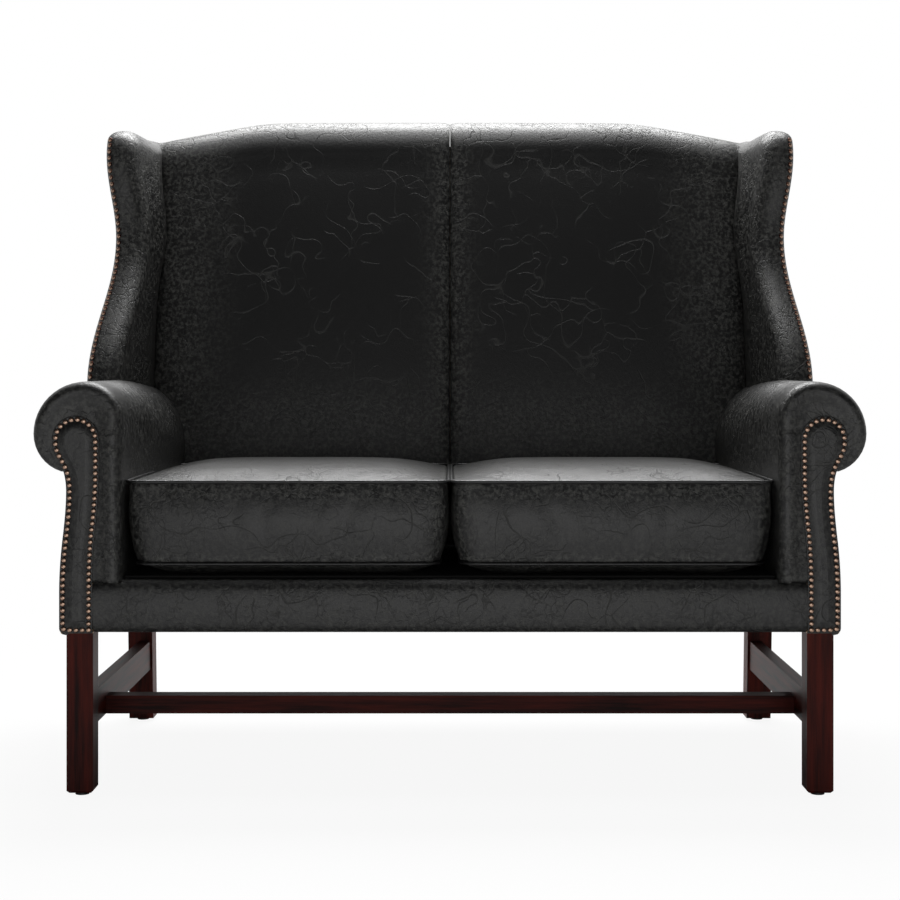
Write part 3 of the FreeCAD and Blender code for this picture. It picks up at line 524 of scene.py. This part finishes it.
def facing_loop(inset):
    """The scroll's outline in x and z, stepped in from its edge."""
    radius = head_radius - inset
    low = facing_low.z + inset
    foot_in, foot_out = facing_high.x - facing_foot + inset, panel_high.x - inset
    lift = 20 * MM
    inner = [(foot_in, low), (foot_in, flare_z + lift),
             (head_x - radius, bend_z + lift), (head_x - radius, head_z)]
    turn = max(18 * MM - inset, 2 * MM)
    outer = [(head_x + radius, head_z), (head_x + radius, head_z - 17 * MM),
             (panel_x - inset, under_z), (panel_x - inset, bend_z), (foot_out, flare_z),
             (foot_out, low + turn), (foot_out, low), (foot_out - turn, low)]
    head = quarter((head_x, head_z), (radius, radius), 180, 0, 24)[1:]
    base = along(outer[-1], inner[0], 8)[1:]
    return soften(inner) + head + soften(outer) + base


def make_facing(name, side):
    """Loops from the edge, through the groove under the nails, up to the middle."""
    steps = [(-3.5, 0.0), (0.0, 0.0), (0.6, 1.0), (-0.4, 4.0), (-0.2, 7.0), (1.8, 10.0),
             (4.0, 14.0), (5.2, 18.0), (5.6, 21.0)]
    rings = [[(x, front_y - rise * MM, z) for x, z in facing_loop(inset * MM)]
             for rise, inset in steps]
    piece = skin(f"facing_{name}", rings, side, lambda x, y, z: 0.45)
    return dress(piece, "frame", leather, [f"arm_facing_{name}"])


def make_outside_arm(name, side):
    """The panel under the roll, with its lower edge turned under."""
    low, wide, thick = panel_low.z, panel_high.x, 11 * MM
    outer = soften([(panel_x, under_z + 9 * MM), (panel_x, bend_z),
                    (wide, flare_z), (wide, low + 5 * MM)])
    inner = [(x - thick, z) for x, z in reversed(outer)]
    under = low - 2.5 * MM
    turn = [(wide - 0.6 * MM, low + 1 * MM), (wide - 3 * MM, low - 1.5 * MM),
            (wide - 7 * MM, under), (wide - thick, under)]
    stations = ((0, 2, 3), (0, 4, 1), (0, 9, 0), (0.5, 0, 0), (1, -3, 0), (1, 0, 1.5))
    rings = []
    for share, behind, inset in stations:
        ring = [(x - inset * MM, z) for x, z in outer + turn] + inner
        rings.append([(x, mix(front_y, raked(post_back_y, z), share) + behind * MM, z)
                      for x, z in ring])
    piece = skin(f"outside_arm_{name}_leather", rings, side, lambda x, y, z: 0.3)
    return dress(piece, "frame", leather, [f"outside_arm_{name}"])


for name, side in (("right", 1), ("left", -1)):
    make_facing(name, side)
    make_outside_arm(name, side)

# %% [markdown]
# ## Wings
# A wing is a level section lofted upwards: a rolled front edge that sweeps forward on to the arm,
# draws in to a waist and flares out again at the ear. The same few eased numbers drive the CAD
# part; here the section is finer, the inner face is plump and the top edge is rolled.

# %% Wing
_, wing_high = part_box("wing_cover_right")
waist_z, ear_z = 915 * MM, 1090 * MM
ear_round = 46 * MM
ear_lift = 6 * MM
shoulder_radius = 16 * MM
half_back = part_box("inside_back_right")[1].x


def swing(a, b, t):
    """From a to b along half a wave."""
    t = min(max(t, 0.0), 1.0)
    return a + (b - a) * (1 - math.cos(math.pi * t)) / 2


def wing_mix(base, waist, ear, z):
    """A size of the wing at height z, from its millimetres at the arm, the waist and the ear."""
    if z < waist_z:
        return swing(base, waist, (z - arm_top_z) / (waist_z - arm_top_z)) * MM
    return swing(waist, ear, (z - waist_z) / (ear_z - waist_z)) * MM


def wing_join(z):
    return raked(inside_back_y + 14 * MM, z)


def wing_front(z):
    over = min(max(z - ear_z, 0.0), ear_round)
    sweep = wing_mix(222, 121, 154, z)
    return wing_join(z) - sweep + ear_round - math.sqrt(ear_round ** 2 - over ** 2)


def wing_edge(z):
    return arm_out_x - wing_mix(5, 28, 10, z)


def wing_ring(z, inset):
    """The wing's level section at height z."""
    edge = wing_edge(z)
    out = edge - inset
    inner = edge - 62 * MM + 1.2 * inset
    nose = wing_front(z) + inset
    r_out, r_in = shoulder_radius - 0.55 * inset, 36 * MM - 1.4 * inset
    rear = raked(post_back_y, z)
    join = (half_back + inset, wing_join(z))
    ring = along((arm_out_x - 28 * MM - 0.5 * inset, rear), (out, nose + r_out), 10)
    ring += quarter((out - r_out, nose + r_out), (r_out, r_out), 0, -90, 8)
    ring += along((out - r_out, nose), (inner + r_in, nose), 4)
    ring += quarter((inner + r_in, nose + r_in), (r_in, r_in), -90, -180, 10)
    face = along((inner, nose + r_in), join, 14)
    plump = (6 + 13 * math.exp(-((z - 0.95) / 0.10) ** 2)) * MM
    ring += [(x - plump * math.sin(math.pi * (k / 14) ** 1.6), y) for k, (x, y) in enumerate(face)]
    ring += along(join, (join[0], rear), 3) + [(join[0], rear)]
    return [(x, y, z) for x, y in ring]


def ear_drop(x, y, z):
    """How far the wing's top falls from the ear inwards. Its rear stays up, over the post."""
    off = arm_out_x - 10 * MM - x
    rearward = (y - wing_front(z)) / (raked(post_back_y, z) - wing_front(z))
    fall = 20 * MM * ease((off - 30 * MM) / (60 * MM)) * (1 - ease((rearward - 0.4) / 0.4))
    return fall * ease((z - ear_z + 31 * MM) / (75 * MM))


def wing_wear(x, y, z):
    return 0.85 - 0.3 * ease((z - 1.06) / 0.06)


def make_wing(name, side):
    """Level rings up to the roll, then rings that close over the top."""
    roll = 24 * MM
    top = wing_high.z + ear_lift
    low = arm_top_z - 65 * MM
    steps = 54
    rings = [wing_ring(mix(low, top - roll, k / steps), 0.0) for k in range(steps + 1)]
    for k in range(1, 11):
        angle = math.radians(90 * k / 10)
        rings.append(wing_ring(top - roll * (1 - math.sin(angle)), roll * (1 - math.cos(angle))))
    rings = [[(x, y, z - ear_drop(x, y, z)) for x, y, z in ring] for ring in rings]
    piece = skin(f"wing_{name}", rings, side, wing_wear)
    nodes = [f"wing_cover_{name}", f"wing_pad_{name}", f"outside_wing_{name}"]
    return dress(piece, "frame", leather, nodes)


for name, side in (("right", 1), ("left", -1)):
    make_wing(name, side)

# %% [markdown]
# ## Back
# Two panels of hide meet at one seam in the middle and roll over the crest. Each half is lofted
# sideways from the seam to the wing; at the seam the leather dives in by a few millimetres and
# leaves a dark line.

# %% Inside back
back_low, back_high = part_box("inside_back_right")
crest_top = back_high.z
seat_z = back_low.z


def crest_z(x):
    """A level middle that bends softly into two straight shoulders, and runs on under the wing."""
    past_bend = min(x / half_back, 1.0) - 0.645
    fall = 55 * MM * (past_bend + math.hypot(past_bend, 0.06))
    return crest_top - fall - 0.12 * max(x - half_back, 0.0)


def seam_dive(x):
    """How deep the hide is drawn in beside the middle seam."""
    return 6.5 * MM * math.exp(-x / (7 * MM))


def dive(x):
    """The same, with the valley that runs down beside the wing."""
    return seam_dive(x) + 9 * MM * math.exp((min(x, half_back) - half_back) / (16 * MM))


def back_ring(x):
    """The back's upright section: up the front, over the crest and down to the lip behind."""
    share = min(x / half_back, 1.0)
    swell = 16 * MM * math.sqrt(max(math.sin(math.pi * share), 0.0))
    top = crest_z(x) - 0.6 * seam_dive(x)
    turn_z = crest_z(x) - 80 * MM
    edge_z = crest_z(x) - 44 * MM
    turn_y = raked(inside_back_y, turn_z) + dive(x)
    edge_y = raked(post_back_y + 3.2 * MM, edge_z)
    ridge_y = mix(turn_y, edge_y, 0.52)
    ring = []
    for k in range(26):
        t = k / 26
        z = mix(seat_z, turn_z, t)
        full = swell * math.sin(math.pi * t) ** 0.7
        ring.append((raked(inside_back_y, z) - full + dive(x), z))
    ring += quarter((ridge_y, turn_z), (ridge_y - turn_y, top - turn_z), 180, 90, 14)
    ring += quarter((ridge_y, edge_z), (edge_y - ridge_y, top - edge_z), 90, 0, 10)
    lip = 34 * MM
    ring += along((edge_y, edge_z), (edge_y - rake * lip, edge_z - lip), 4)
    hidden_y = inside_back_y + 80 * MM
    ring += [(raked(hidden_y, turn_z), turn_z - 30 * MM), (raked(hidden_y, seat_z), seat_z)]
    return [(x, y, z) for y, z in ring]


def back_wear(x, y, z):
    """The hide is rubbed beside the middle seam, towards the wings and low down."""
    middle = 0.9 * math.exp(-(x / (38 * MM)) ** 2)
    sides = 0.75 * ease((x - half_back + 190 * MM) / (150 * MM))
    low = 0.55 * ease((0.70 - z) / 0.14)
    top = 0.8 * ease((z - crest_z(min(x, half_back)) + 45 * MM) / (40 * MM))
    return max(middle, sides, low, top)


def make_back(name, side):
    steps = 64
    seam = 0.4 * MM
    shares = [0.5 - 0.5 * math.cos(math.pi * k / steps) for k in range(steps + 1)]
    across = [mix(seam, half_back, share) for share in shares]
    across += [half_back + k * 8 * MM for k in (1, 2, 3)]
    piece = skin(f"inside_back_{name}_leather", [back_ring(x) for x in across], side, back_wear)
    nodes = [f"inside_back_{name}"] + (["back_pad"] if side > 0 else [])
    return dress(piece, "frame", leather, nodes)


for name, side in (("right", 1), ("left", -1)):
    make_back(name, side)


def make_outside_back():
    """A plain panel: the CAD plate as it is, in leather."""
    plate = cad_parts["outside_back"].data.copy()
    piece = bpy.data.objects.new("outside_back_leather", plate)
    bpy.context.scene.collection.objects.link(piece)
    return dress(piece, "frame", leather, ["outside_back"])


make_outside_back()

# %% [markdown]
# ## Front border
# The rail under the cushions is wrapped in wadding and leather. It is a plain roll, fuller in the
# middle of its height.

# %% Border
border_low, border_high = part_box("front_border_cover")


def border_ring(x):
    """The border's section, with a small lip at its top front edge."""
    height = border_high.z - border_low.z
    r = 13 * MM
    front = border_low.y + 5 * MM
    ring = along((border_high.y, border_low.z), (front + r, border_low.z), 3)
    ring += quarter((front + r, border_low.z + r), (r, r), 270, 180, 6)
    ring += along((front, border_low.z + r), (front, border_high.z - r), 10)
    lip = 5 * MM
    ring += quarter((front + r, border_high.z - r), (r, r + lip), 180, 90, 8)
    ring += along((front + r, border_high.z + lip), (border_high.y, border_high.z), 4)
    ring += [(border_high.y, border_high.z)]
    puffed = []
    for y, z in ring:
        t = (z - border_low.z) / height
        full = 5 * MM * math.sin(math.pi * min(max(t, 0), 1)) ** 0.8
        puffed.append((x, y - full * (1 if y < border_high.y - 1 * MM else 0), z))
    return puffed


def make_border():
    half = border_high.x
    steps = 60
    rings = [border_ring(mix(-half, half, k / steps)) for k in range(steps + 1)]
    piece = skin("front_border_leather", rings, 1, lambda x, y, z: 0.5)
    nodes = ["front_border_cover", "front_border_pad"]
    return dress(piece, "frame", leather, nodes)


make_border()

# %% [markdown]
# ## Seat cushions
# A box cushion is a foam block in a case of five strips. The piped seams hold its edges straight,
# and the faces between them swell. That is what the cloth solver is for: the seams are pinned and
# a little pressure blows the case up. The result is scaled so that the crown has its measured
# height, and smoothed a little as by a foam core.

# %% Cushion case
cushion_low, cushion_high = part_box("cushion_cover_right")
piping_low, piping_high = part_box("cushion_piping_right")
piping_radius = 2.6 * MM
lower_welt, upper_welt = piping_low.z + piping_radius, piping_high.z - piping_radius
crown_height = cushion_high.z - upper_welt
case_inset = 7 * MM


def case_loop(z, inset, count=200):
    """A rounded rectangle at height z, evenly stepped, whose back leans with the sofa's back."""
    up = min(max((z - lower_welt) / (upper_welt - lower_welt), 0.0), 1.0)
    taper = mix(9, -4.5, up) * MM
    x0, x1 = cushion_low.x + inset + taper, cushion_high.x - inset - taper
    y0 = cushion_low.y + inset
    y1 = cushion_high.y - rake * (upper_welt - z) - inset
    r = max(mix(34, 22, up) * MM - inset * 0.2, 6 * MM)
    path = []
    corners = ((x1 - r, y1 - r), (x0 + r, y1 - r), (x0 + r, y0 + r), (x1 - r, y0 + r))
    for corner, start in zip(corners, (0, 90, 180, 270)):
        path += quarter(corner, (r, r), start, start + 90, 12)
        path += quarter(corner, (r, r), start + 90, start + 91, 1)
    lengths = [0.0]
    for a, b in zip(path, path[1:] + path[:1]):
        lengths.append(lengths[-1] + math.dist(a, b))
    even = []
    k = 0
    for n in range(count):
        want = lengths[-1] * n / count
        while lengths[k + 1] < want:
            k += 1
        t = (want - lengths[k]) / max(lengths[k + 1] - lengths[k], 1e-9)
        a, b = path[k], path[(k + 1) % len(path)]
        even.append((mix(a[0], b[0], t), mix(a[1], b[1], t), z))
    return even


def swelled(x, y, z, full):
    """A point of the flat case after filling. full 1 gives the measured crown."""
    half_x = (cushion_high.x - cushion_low.x) / 2
    half_y = (cushion_high.y - cushion_low.y) / 2
    off_x = min(abs(x - cushion_low.x - half_x) / (half_x - case_inset), 1.0)
    off_y = min(abs(y - cushion_low.y - half_y) / (half_y - case_inset), 1.0)
    if z > upper_welt + 1e-6:
        return x, y, upper_welt + full * crown_height * (1 - off_x ** 4.5) * (1 - off_y ** 4.0)
    if z < lower_welt - 1e-6:
        depth = lower_welt - cushion_low.z
        return x, y, lower_welt - full * depth * (1 - off_x ** 8) * (1 - off_y ** 8)
    up = math.sin(math.pi * (z - lower_welt) / (upper_welt - lower_welt))
    middle_x = (cushion_low.x + cushion_high.x) / 2
    middle_y = (cushion_low.y + cushion_high.y) / 2
    away = Vector((x - middle_x, y - middle_y)).normalized()
    return x + full * case_inset * up * away.x, y + full * case_inset * up * away.y, z


def make_case(name, full):
    """The sewn case, its faces swelled between the two welts."""
    spread = [0.015, 0.035, 0.06, 0.1, 0.15, 0.21, 0.28, 0.36, 0.45, 0.56, 0.68, 0.8, 0.92]
    insets = [case_inset + 240 * MM * share for share in spread]
    rings = [case_loop(lower_welt - 1 * MM, inset) for inset in reversed(insets)]
    rings += [case_loop(mix(lower_welt, upper_welt, k / 14), case_inset) for k in range(15)]
    rings += [case_loop(upper_welt + 1 * MM, inset) for inset in insets]
    return skin(name, [[swelled(x, y, z, full) for x, y, z in ring] for ring in rings])


def cushion_wear(x, y, z):
    """Most rubbed along the seams of the boxing, least on top."""
    if z > upper_welt + 1 * MM:
        return 0.55
    t = (z - lower_welt) / (upper_welt - lower_welt)
    edges = max(ease((t - 0.72) / 0.15), ease((0.16 - t) / 0.12))
    ends = ease((cushion_low.x + 45 * MM - x) / (30 * MM))
    ends += ease((x - cushion_high.x + 45 * MM) / (30 * MM))
    return 0.35 + 0.6 * min(edges + ends, 1.0)


def finished_mesh(piece):
    """A plain mesh of a piece as its modifiers leave it."""
    view = bpy.context.evaluated_depsgraph_get()
    return bpy.data.meshes.new_from_object(piece.evaluated_get(view))


def even_mesh(piece, size):
    """The same form in small even squares, which is what the cloth solver likes."""
    remesh = piece.modifiers.new("even_squares", "REMESH")
    remesh.mode = "VOXEL"
    remesh.voxel_size = size
    made = finished_mesh(piece)
    piece.modifiers.remove(remesh)
    piece.data = made


def seam_hold(point):
    """How firmly the sewn edges hold a point: 1 on a welt, 0 a little further on."""
    off = min(abs(point.z - lower_welt), abs(point.z - upper_welt))
    edge = min(point.x - cushion_low.x, cushion_high.x - point.x,
               point.y - cushion_low.y, cushion_high.y - point.y)
    return 1.0 - ease((max(off, edge - 10 * MM) - 3 * MM) / (6 * MM))


def fill(piece, frames):
    """Let pressure and a little slack in the hide settle the case between its pinned seams."""
    seams = piece.vertex_groups.new(name="seams")
    for point in piece.data.vertices:
        seams.add([point.index], seam_hold(point.co), "REPLACE")
    filling = piece.modifiers.new("filling", "CLOTH")
    hide = filling.settings
    hide.quality, hide.mass = 5, 0.3
    hide.tension_stiffness = hide.compression_stiffness = 15
    hide.shear_stiffness, hide.bending_stiffness = 8, 1.5
    hide.vertex_group_mass = "seams"
    hide.shrink_min = -0.012
    hide.use_pressure = True
    hide.uniform_pressure_force = 4
    hide.effector_weights.gravity = 0
    filling.point_cache.frame_end = frames
    for step in range(1, frames + 1):
        bpy.context.scene.frame_set(step)
    settled = finished_mesh(piece)
    piece.modifiers.remove(filling)
    bpy.context.scene.frame_set(1)
    return settled


def settle(piece):
    """Take over the settled form, each move kept to a few millimetres, the crown at its height."""
    settled = fill(piece, 20)
    limit = 9 * MM
    top = max(point.co.z for point in settled.vertices)
    for point, end in zip(piece.data.vertices, settled.vertices):
        move = end.co - point.co
        if move.length > limit:
            move *= limit / move.length
        point.co += move
        if point.co.z > upper_welt:
            above = point.co.z - upper_welt
            point.co.z = upper_welt + above * crown_height / (top - upper_welt)
        point.co.z = max(point.co.z, cushion_low.z)
    relax(piece.data, 8)
    print("filled cushion: top", round(top, 4), "crown", round(crown_height, 4))


def relax(mesh, rounds):
    """Smooth the swelled faces a little, but not the sewn edges, as a foam core would."""
    work = bmesh.new()
    work.from_mesh(mesh)
    free = [point for point in work.verts if seam_hold(point.co) < 0.5]
    for _ in range(rounds):
        bmesh.ops.smooth_vert(work, verts=free, factor=0.5,
                              use_axis_x=True, use_axis_y=True, use_axis_z=True)
    work.to_mesh(mesh)
    work.free()


def make_cushion():
    """One cushion for the right side; the left one is its mirror image."""
    piece = make_case("cushion_right", 0.85)
    even_mesh(piece, 6 * MM)
    settle(piece)
    for face in piece.data.polygons:
        face.use_smooth = True
    mark_wear(piece.data, cushion_wear)
    return piece


def mirrored(piece, name):
    """The same mesh on the other side, turned the right way out."""
    mesh = piece.data.copy()
    for point in mesh.vertices:
        point.co.x = -point.co.x
    mesh.flip_normals()
    twin = bpy.data.objects.new(name, mesh)
    bpy.context.scene.collection.objects.link(twin)
    return twin


right_cushion = make_cushion()
left_cushion = mirrored(right_cushion, "cushion_left")
for name, piece in (("right", right_cushion), ("left", left_cushion)):
    nodes = [f"cushion_cover_{name}", f"cushion_core_{name}"]
    dress(piece, f"{name}_cushion", leather, nodes)

# %% [markdown]
# ## Welts and nails along paths
# A piped seam is a cord in a strip of leather, and a nail row is one cap set again and again at a
# fixed pitch. Both follow a path, so each is a small geometry tree with named inputs: change the
# pitch and the whole row is set again.

# %% Path tools


def path_object(name, points, closed):
    """A row of edges for a tree to follow."""
    mesh = bpy.data.meshes.new(name)
    edges = [(k, k + 1) for k in range(len(points) - 1)]
    if closed:
        edges.append((len(points) - 1, 0))
    mesh.from_pydata(points, edges, [])
    piece = bpy.data.objects.new(name, mesh)
    bpy.context.scene.collection.objects.link(piece)
    return piece


def new_tree(name, inputs):
    """A geometry tree with named inputs, and its input and output nodes."""
    tree = bpy.data.node_groups.new(name, "GeometryNodeTree")
    tree.interface.new_socket("Geometry", in_out="INPUT", socket_type="NodeSocketGeometry")
    for label, kind in inputs.items():
        tree.interface.new_socket(label, in_out="INPUT", socket_type=kind)
    tree.interface.new_socket("Geometry", in_out="OUTPUT", socket_type="NodeSocketGeometry")
    return tree, tree.nodes.new("NodeGroupInput"), tree.nodes.new("NodeGroupOutput")


def grow(piece, tree, values):
    """Run a tree on a path with these values and keep the result as a plain mesh."""
    modifier = piece.modifiers.new(tree.name, "NODES")
    modifier.node_group = tree
    for item in tree.interface.items_tree:
        if item.in_out == "INPUT" and item.name in values:
            modifier[item.identifier] = values[item.name]
    made = finished_mesh(piece)
    piece.modifiers.remove(modifier)
    piece.data = made
    return piece


def even_path(tree, given, step):
    """The given path as a curve with points at a fixed step."""
    path = node(tree, "GeometryNodeMeshToCurve", Mesh=given.outputs["Geometry"])
    return node(tree, "GeometryNodeResampleCurve", {"mode": "LENGTH"}, Curve=path.outputs[0],
                Length=given.outputs[step]).outputs[0]


def finish_tree(tree, given, result, geometry):
    """Make real meshes of what was set, paint them and hand them out."""
    real = node(tree, "GeometryNodeRealizeInstances", Geometry=geometry)
    painted = node(tree, "GeometryNodeSetMaterial", Geometry=real.outputs[0],
                   Material=given.outputs["Material"])
    tree.links.new(painted.outputs[0], result.inputs[0])
    return tree


def welt_tree():
    """A cord: a small circle drawn along the path."""
    tree, given, result = new_tree("welt_along_path", {
        "Radius": "NodeSocketFloat", "Step": "NodeSocketFloat", "Material": "NodeSocketMaterial"})
    circle = node(tree, "GeometryNodeCurvePrimitiveCircle", Resolution=10,
                  Radius=given.outputs["Radius"])
    cord = node(tree, "GeometryNodeCurveToMesh", Curve=even_path(tree, given, "Step"),
                Profile_Curve=circle.outputs[0])
    return finish_tree(tree, given, result, cord.outputs[0])


def nail_tree():
    """A row of caps: flattened balls that keep how far each point lies from the cap's middle."""
    tree, given, result = new_tree("nails_along_path", {
        "Pitch": "NodeSocketFloat", "Radius": "NodeSocketFloat", "Rise": "NodeSocketFloat",
        "Axis": "NodeSocketVector", "Seed": "NodeSocketInt", "Material": "NodeSocketMaterial"})
    ball = node(tree, "GeometryNodeMeshUVSphere", Segments=12, Rings=6, Radius=1.0)
    spot = node(tree, "GeometryNodeInputPosition")
    level = node(tree, "ShaderNodeVectorMath", MULTIPLY, i0=spot.outputs[0], i1=(1.0, 1.0, 0.0))
    outward = node(tree, "ShaderNodeVectorMath", LENGTH, i0=level.outputs[0])
    # The distance from the middle is kept as rim; the brass paints a dark reflection round the
    # cap's edge with it.
    marked = node(tree, "GeometryNodeStoreNamedAttribute",
                  {"data_type": "FLOAT", "domain": "POINT"},
                  Geometry=ball.outputs[0], Name="rim", Value=outward.outputs["Value"])
    radius, rise = given.outputs["Radius"], given.outputs["Rise"]
    flat = node(tree, "ShaderNodeCombineXYZ", X=radius, Y=radius, Z=rise)
    cap = node(tree, "GeometryNodeTransform", Geometry=marked.outputs[0], Scale=flat.outputs[0])
    soft = node(tree, "GeometryNodeSetShadeSmooth", Geometry=cap.outputs[0])
    turn = node(tree, "FunctionNodeAlignRotationToVector", {"axis": "Z"},
                Vector=given.outputs["Axis"])
    size = node(tree, "FunctionNodeRandomValue", {"data_type": "FLOAT"}, i2=0.95, i3=1.05,
                Seed=given.outputs["Seed"])
    row = node(tree, "GeometryNodeInstanceOnPoints", Points=even_path(tree, given, "Pitch"),
               Instance=soft.outputs[0], Rotation=turn.outputs[0], Scale=size.outputs[1])
    return finish_tree(tree, given, result, row.outputs[0])


# %% [markdown]
# ## Piping and nail rows
# The cushions have a welt round the top and one round the bottom. The nails start at the foot of
# each facing, go round its scroll, and then climb the outer shoulder of the wing to the ear.

# %% Set the welts and the nails


def join_as(name, pieces):
    """Several pieces as one mesh."""
    work = bmesh.new()
    for piece in pieces:
        work.from_mesh(piece.data)
    mesh = bpy.data.meshes.new(name)
    work.to_mesh(mesh)
    work.free()
    for piece in pieces:
        bpy.data.objects.remove(piece)
    for face in mesh.polygons:
        face.use_smooth = True
    made = bpy.data.objects.new(name, mesh)
    bpy.context.scene.collection.objects.link(made)
    return made


welts, nails = welt_tree(), nail_tree()
cord = {"Radius": piping_radius + 0.4 * MM, "Step": 9 * MM, "Material": leather}
for name, side in (("right", 1), ("left", -1)):
    loops = []
    for label, z in (("low", lower_welt), ("high", upper_welt)):
        points = [(side * x, y, z) for x, y, z in case_loop(z, 6 * MM)]
        loops.append(grow(path_object(f"welt_{label}_{name}", points, True), welts, cord))
    piping = join_as(f"piping_{name}", loops)
    dress(piping, f"{name}_cushion", leather, [f"cushion_piping_{name}"])

nail_radius, nail_rise = 4.7 * MM, 2.7 * MM
tilt = math.radians(32)
front_row = {"Pitch": 10.0 * MM, "Radius": nail_radius, "Rise": nail_rise,
             "Axis": (0, -1, 0), "Seed": 4, "Material": brass}


def wing_nail(z):
    """The place of a nail on the rounded shoulder of the right wing."""
    x = wing_edge(z) - shoulder_radius * (1 - math.sin(tilt))
    return x, wing_front(z) + shoulder_radius * (1 - math.cos(tilt)), z


for name, side in (("right", 1), ("left", -1)):
    scroll = [(side * x, front_y + 0.2 * MM, z) for x, z in facing_loop(5.7 * MM)]
    around = grow(path_object(f"scroll_path_{name}", scroll, True), nails, front_row)
    heights = [mix(arm_top_z + 6 * MM, ear_z + 20 * MM, k / 60) for k in range(61)]
    shoulder = [(side * x, y, z) for x, y, z in map(wing_nail, heights)]
    outward = (side * math.sin(tilt), -math.cos(tilt), 0)
    wing_row = dict(front_row, Pitch=12.4 * MM, Axis=outward, Seed=9)
    up = grow(path_object(f"wing_path_{name}", shoulder, False), nails, wing_row)
    row = join_as(f"nails_{name}", [around, up])
    dress(row, "frame", brass, [f"nail_heads_{name}"])

# %% [markdown]
# ## Stage, light and camera
# The sofa stands on a plain pale floor in front of a white backdrop, in a dark room. A wide soft
# light high behind it draws the bright bands on crest, arms and cushions, a weaker one hangs
# overhead, and a low one by the camera lifts the fronts. The camera looks level along +Y, and its
# frame is shifted down, as a product photographer would do to keep the legs upright.

# %% Stage


def eye_and_mirror(tree):
    """Whether a ray comes from the camera, and whether it comes from a shiny or clear surface."""
    ray = node(tree, "ShaderNodeLightPath").outputs
    mirror = node(tree, "ShaderNodeMath", MAXIMUM, i0=ray["Is Glossy Ray"],
                  i1=ray["Is Transmission Ray"])
    return ray["Is Camera Ray"], mirror.outputs[0]


def make_floor():
    """Bright under the lights, and pure white a few metres away, so that no horizon shows."""
    mesh = bpy.data.meshes.new("studio_floor")
    reach = 30.0
    corners = [(-reach, -reach, 0), (reach, -reach, 0), (reach, reach, 0), (-reach, reach, 0)]
    mesh.from_pydata(corners, [], [(0, 1, 2, 3)])
    floor = bpy.data.objects.new("studio_floor", mesh)
    bpy.context.scene.collection.objects.link(floor)
    material, tree, shader, place = new_material("pale_floor")
    shader.inputs["Base Color"].default_value = colour("#f4f4f4")
    shader.inputs["Roughness"].default_value = 0.9
    shader.inputs["Specular IOR Level"].default_value = 0.0
    white = node(tree, "ShaderNodeEmission", Color=colour("#ffffff"), Strength=1.0)
    distance = node(tree, "ShaderNodeVectorMath", LENGTH, i0=place).outputs["Value"]
    eye, mirror = eye_and_mirror(tree)
    far = node(tree, "ShaderNodeMapRange", SMOOTH, Value=distance, From_Min=0.7, From_Max=1.9,
               To_Min=0.92, To_Max=1.0)
    distant = node(tree, "ShaderNodeMapRange", Value=distance, From_Min=4.0, From_Max=8.0)
    by_eye = node(tree, "ShaderNodeMath", MULTIPLY, i0=far.outputs[0], i1=eye)
    by_mirror = node(tree, "ShaderNodeMath", MULTIPLY, i0=distant.outputs[0], i1=mirror)
    seen = node(tree, "ShaderNodeMath", MAXIMUM, i0=by_eye.outputs[0], i1=by_mirror.outputs[0])
    both = node(tree, "ShaderNodeMixShader", i0=seen.outputs[0], i1=shader.outputs[0],
                i2=white.outputs[0])
    tree.links.new(both.outputs[0], tree.nodes["Material Output"].inputs["Surface"])
    floor.data.materials.append(material)
    return floor


def soft_light(name, place, aim, width, height, power):
    """A lit panel that the camera doesn't see."""
    light = bpy.data.lights.new(name, "AREA")
    light.shape = "RECTANGLE"
    light.size, light.size_y, light.energy = width, height, power
    lamp = bpy.data.objects.new(name, light)
    lamp.location = place
    lamp.rotation_euler = (Vector(aim) - Vector(place)).to_track_quat("-Z", "Y").to_euler()
    lamp.visible_camera = False
    bpy.context.scene.collection.objects.link(lamp)
    print(name, power, "W")


def make_world():
    """White to the eye, white in reflections only behind the sofa, and nearly dark as light."""
    world = bpy.data.worlds.new("white_studio")
    bpy.context.scene.world = world
    world.use_nodes = True
    tree = world.node_tree
    tree.nodes.clear()
    seen = node(tree, "ShaderNodeBackground", Color=colour("#ffffff"), Strength=1.0)
    felt = node(tree, "ShaderNodeBackground", Color=colour("#ffffff"), Strength=0.04)
    eye, mirror = eye_and_mirror(tree)
    direction = node(tree, "ShaderNodeTexCoord").outputs["Generated"]
    rearward = node(tree, "ShaderNodeSeparateXYZ", Vector=direction).outputs["Y"]
    backdrop = node(tree, "ShaderNodeMapRange", Value=rearward, From_Min=0.0, From_Max=0.5)
    by_mirror = node(tree, "ShaderNodeMath", MULTIPLY, i0=mirror, i1=backdrop.outputs[0])
    shown = node(tree, "ShaderNodeMath", MAXIMUM, i0=eye, i1=by_mirror.outputs[0])
    both = node(tree, "ShaderNodeMixShader", i0=shown.outputs[0], i1=felt.outputs[0],
                i2=seen.outputs[0])
    node(tree, "ShaderNodeOutputWorld", Surface=both.outputs[0])


make_floor()
make_world()
soft_light("behind_above", (0, 1.25, 2.9), (0, -0.2, 0.6), 2.0, 1.3, 125)
soft_light("overhead", (0, -0.3, 3.2), (0, -0.3, 0), 1.8, 0.8, 22)
soft_light("front_fill", (0, -3.6, 0.40), (0, 0, 0.40), 2.9, 0.8, 20)


def make_camera():
    """Level, with the lens, distance and horizon measured from the picture."""
    distance = 2.805
    horizon = 0.675
    focal_px = 1778.0
    picture = 900.0
    horizon_row = 370.0
    data = bpy.data.cameras.new("camera")
    data.sensor_width = 36.0
    data.lens = focal_px / picture * data.sensor_width
    data.shift_y = -(picture / 2 - horizon_row) / picture
    camera = bpy.data.objects.new("camera", data)
    camera.location = (0, front_y - distance, horizon)
    camera.rotation_euler = (math.radians(90), 0, 0)
    bpy.context.scene.collection.objects.link(camera)
    bpy.context.scene.camera = camera


make_camera()
bpy.context.scene.view_settings.view_transform = "Standard"
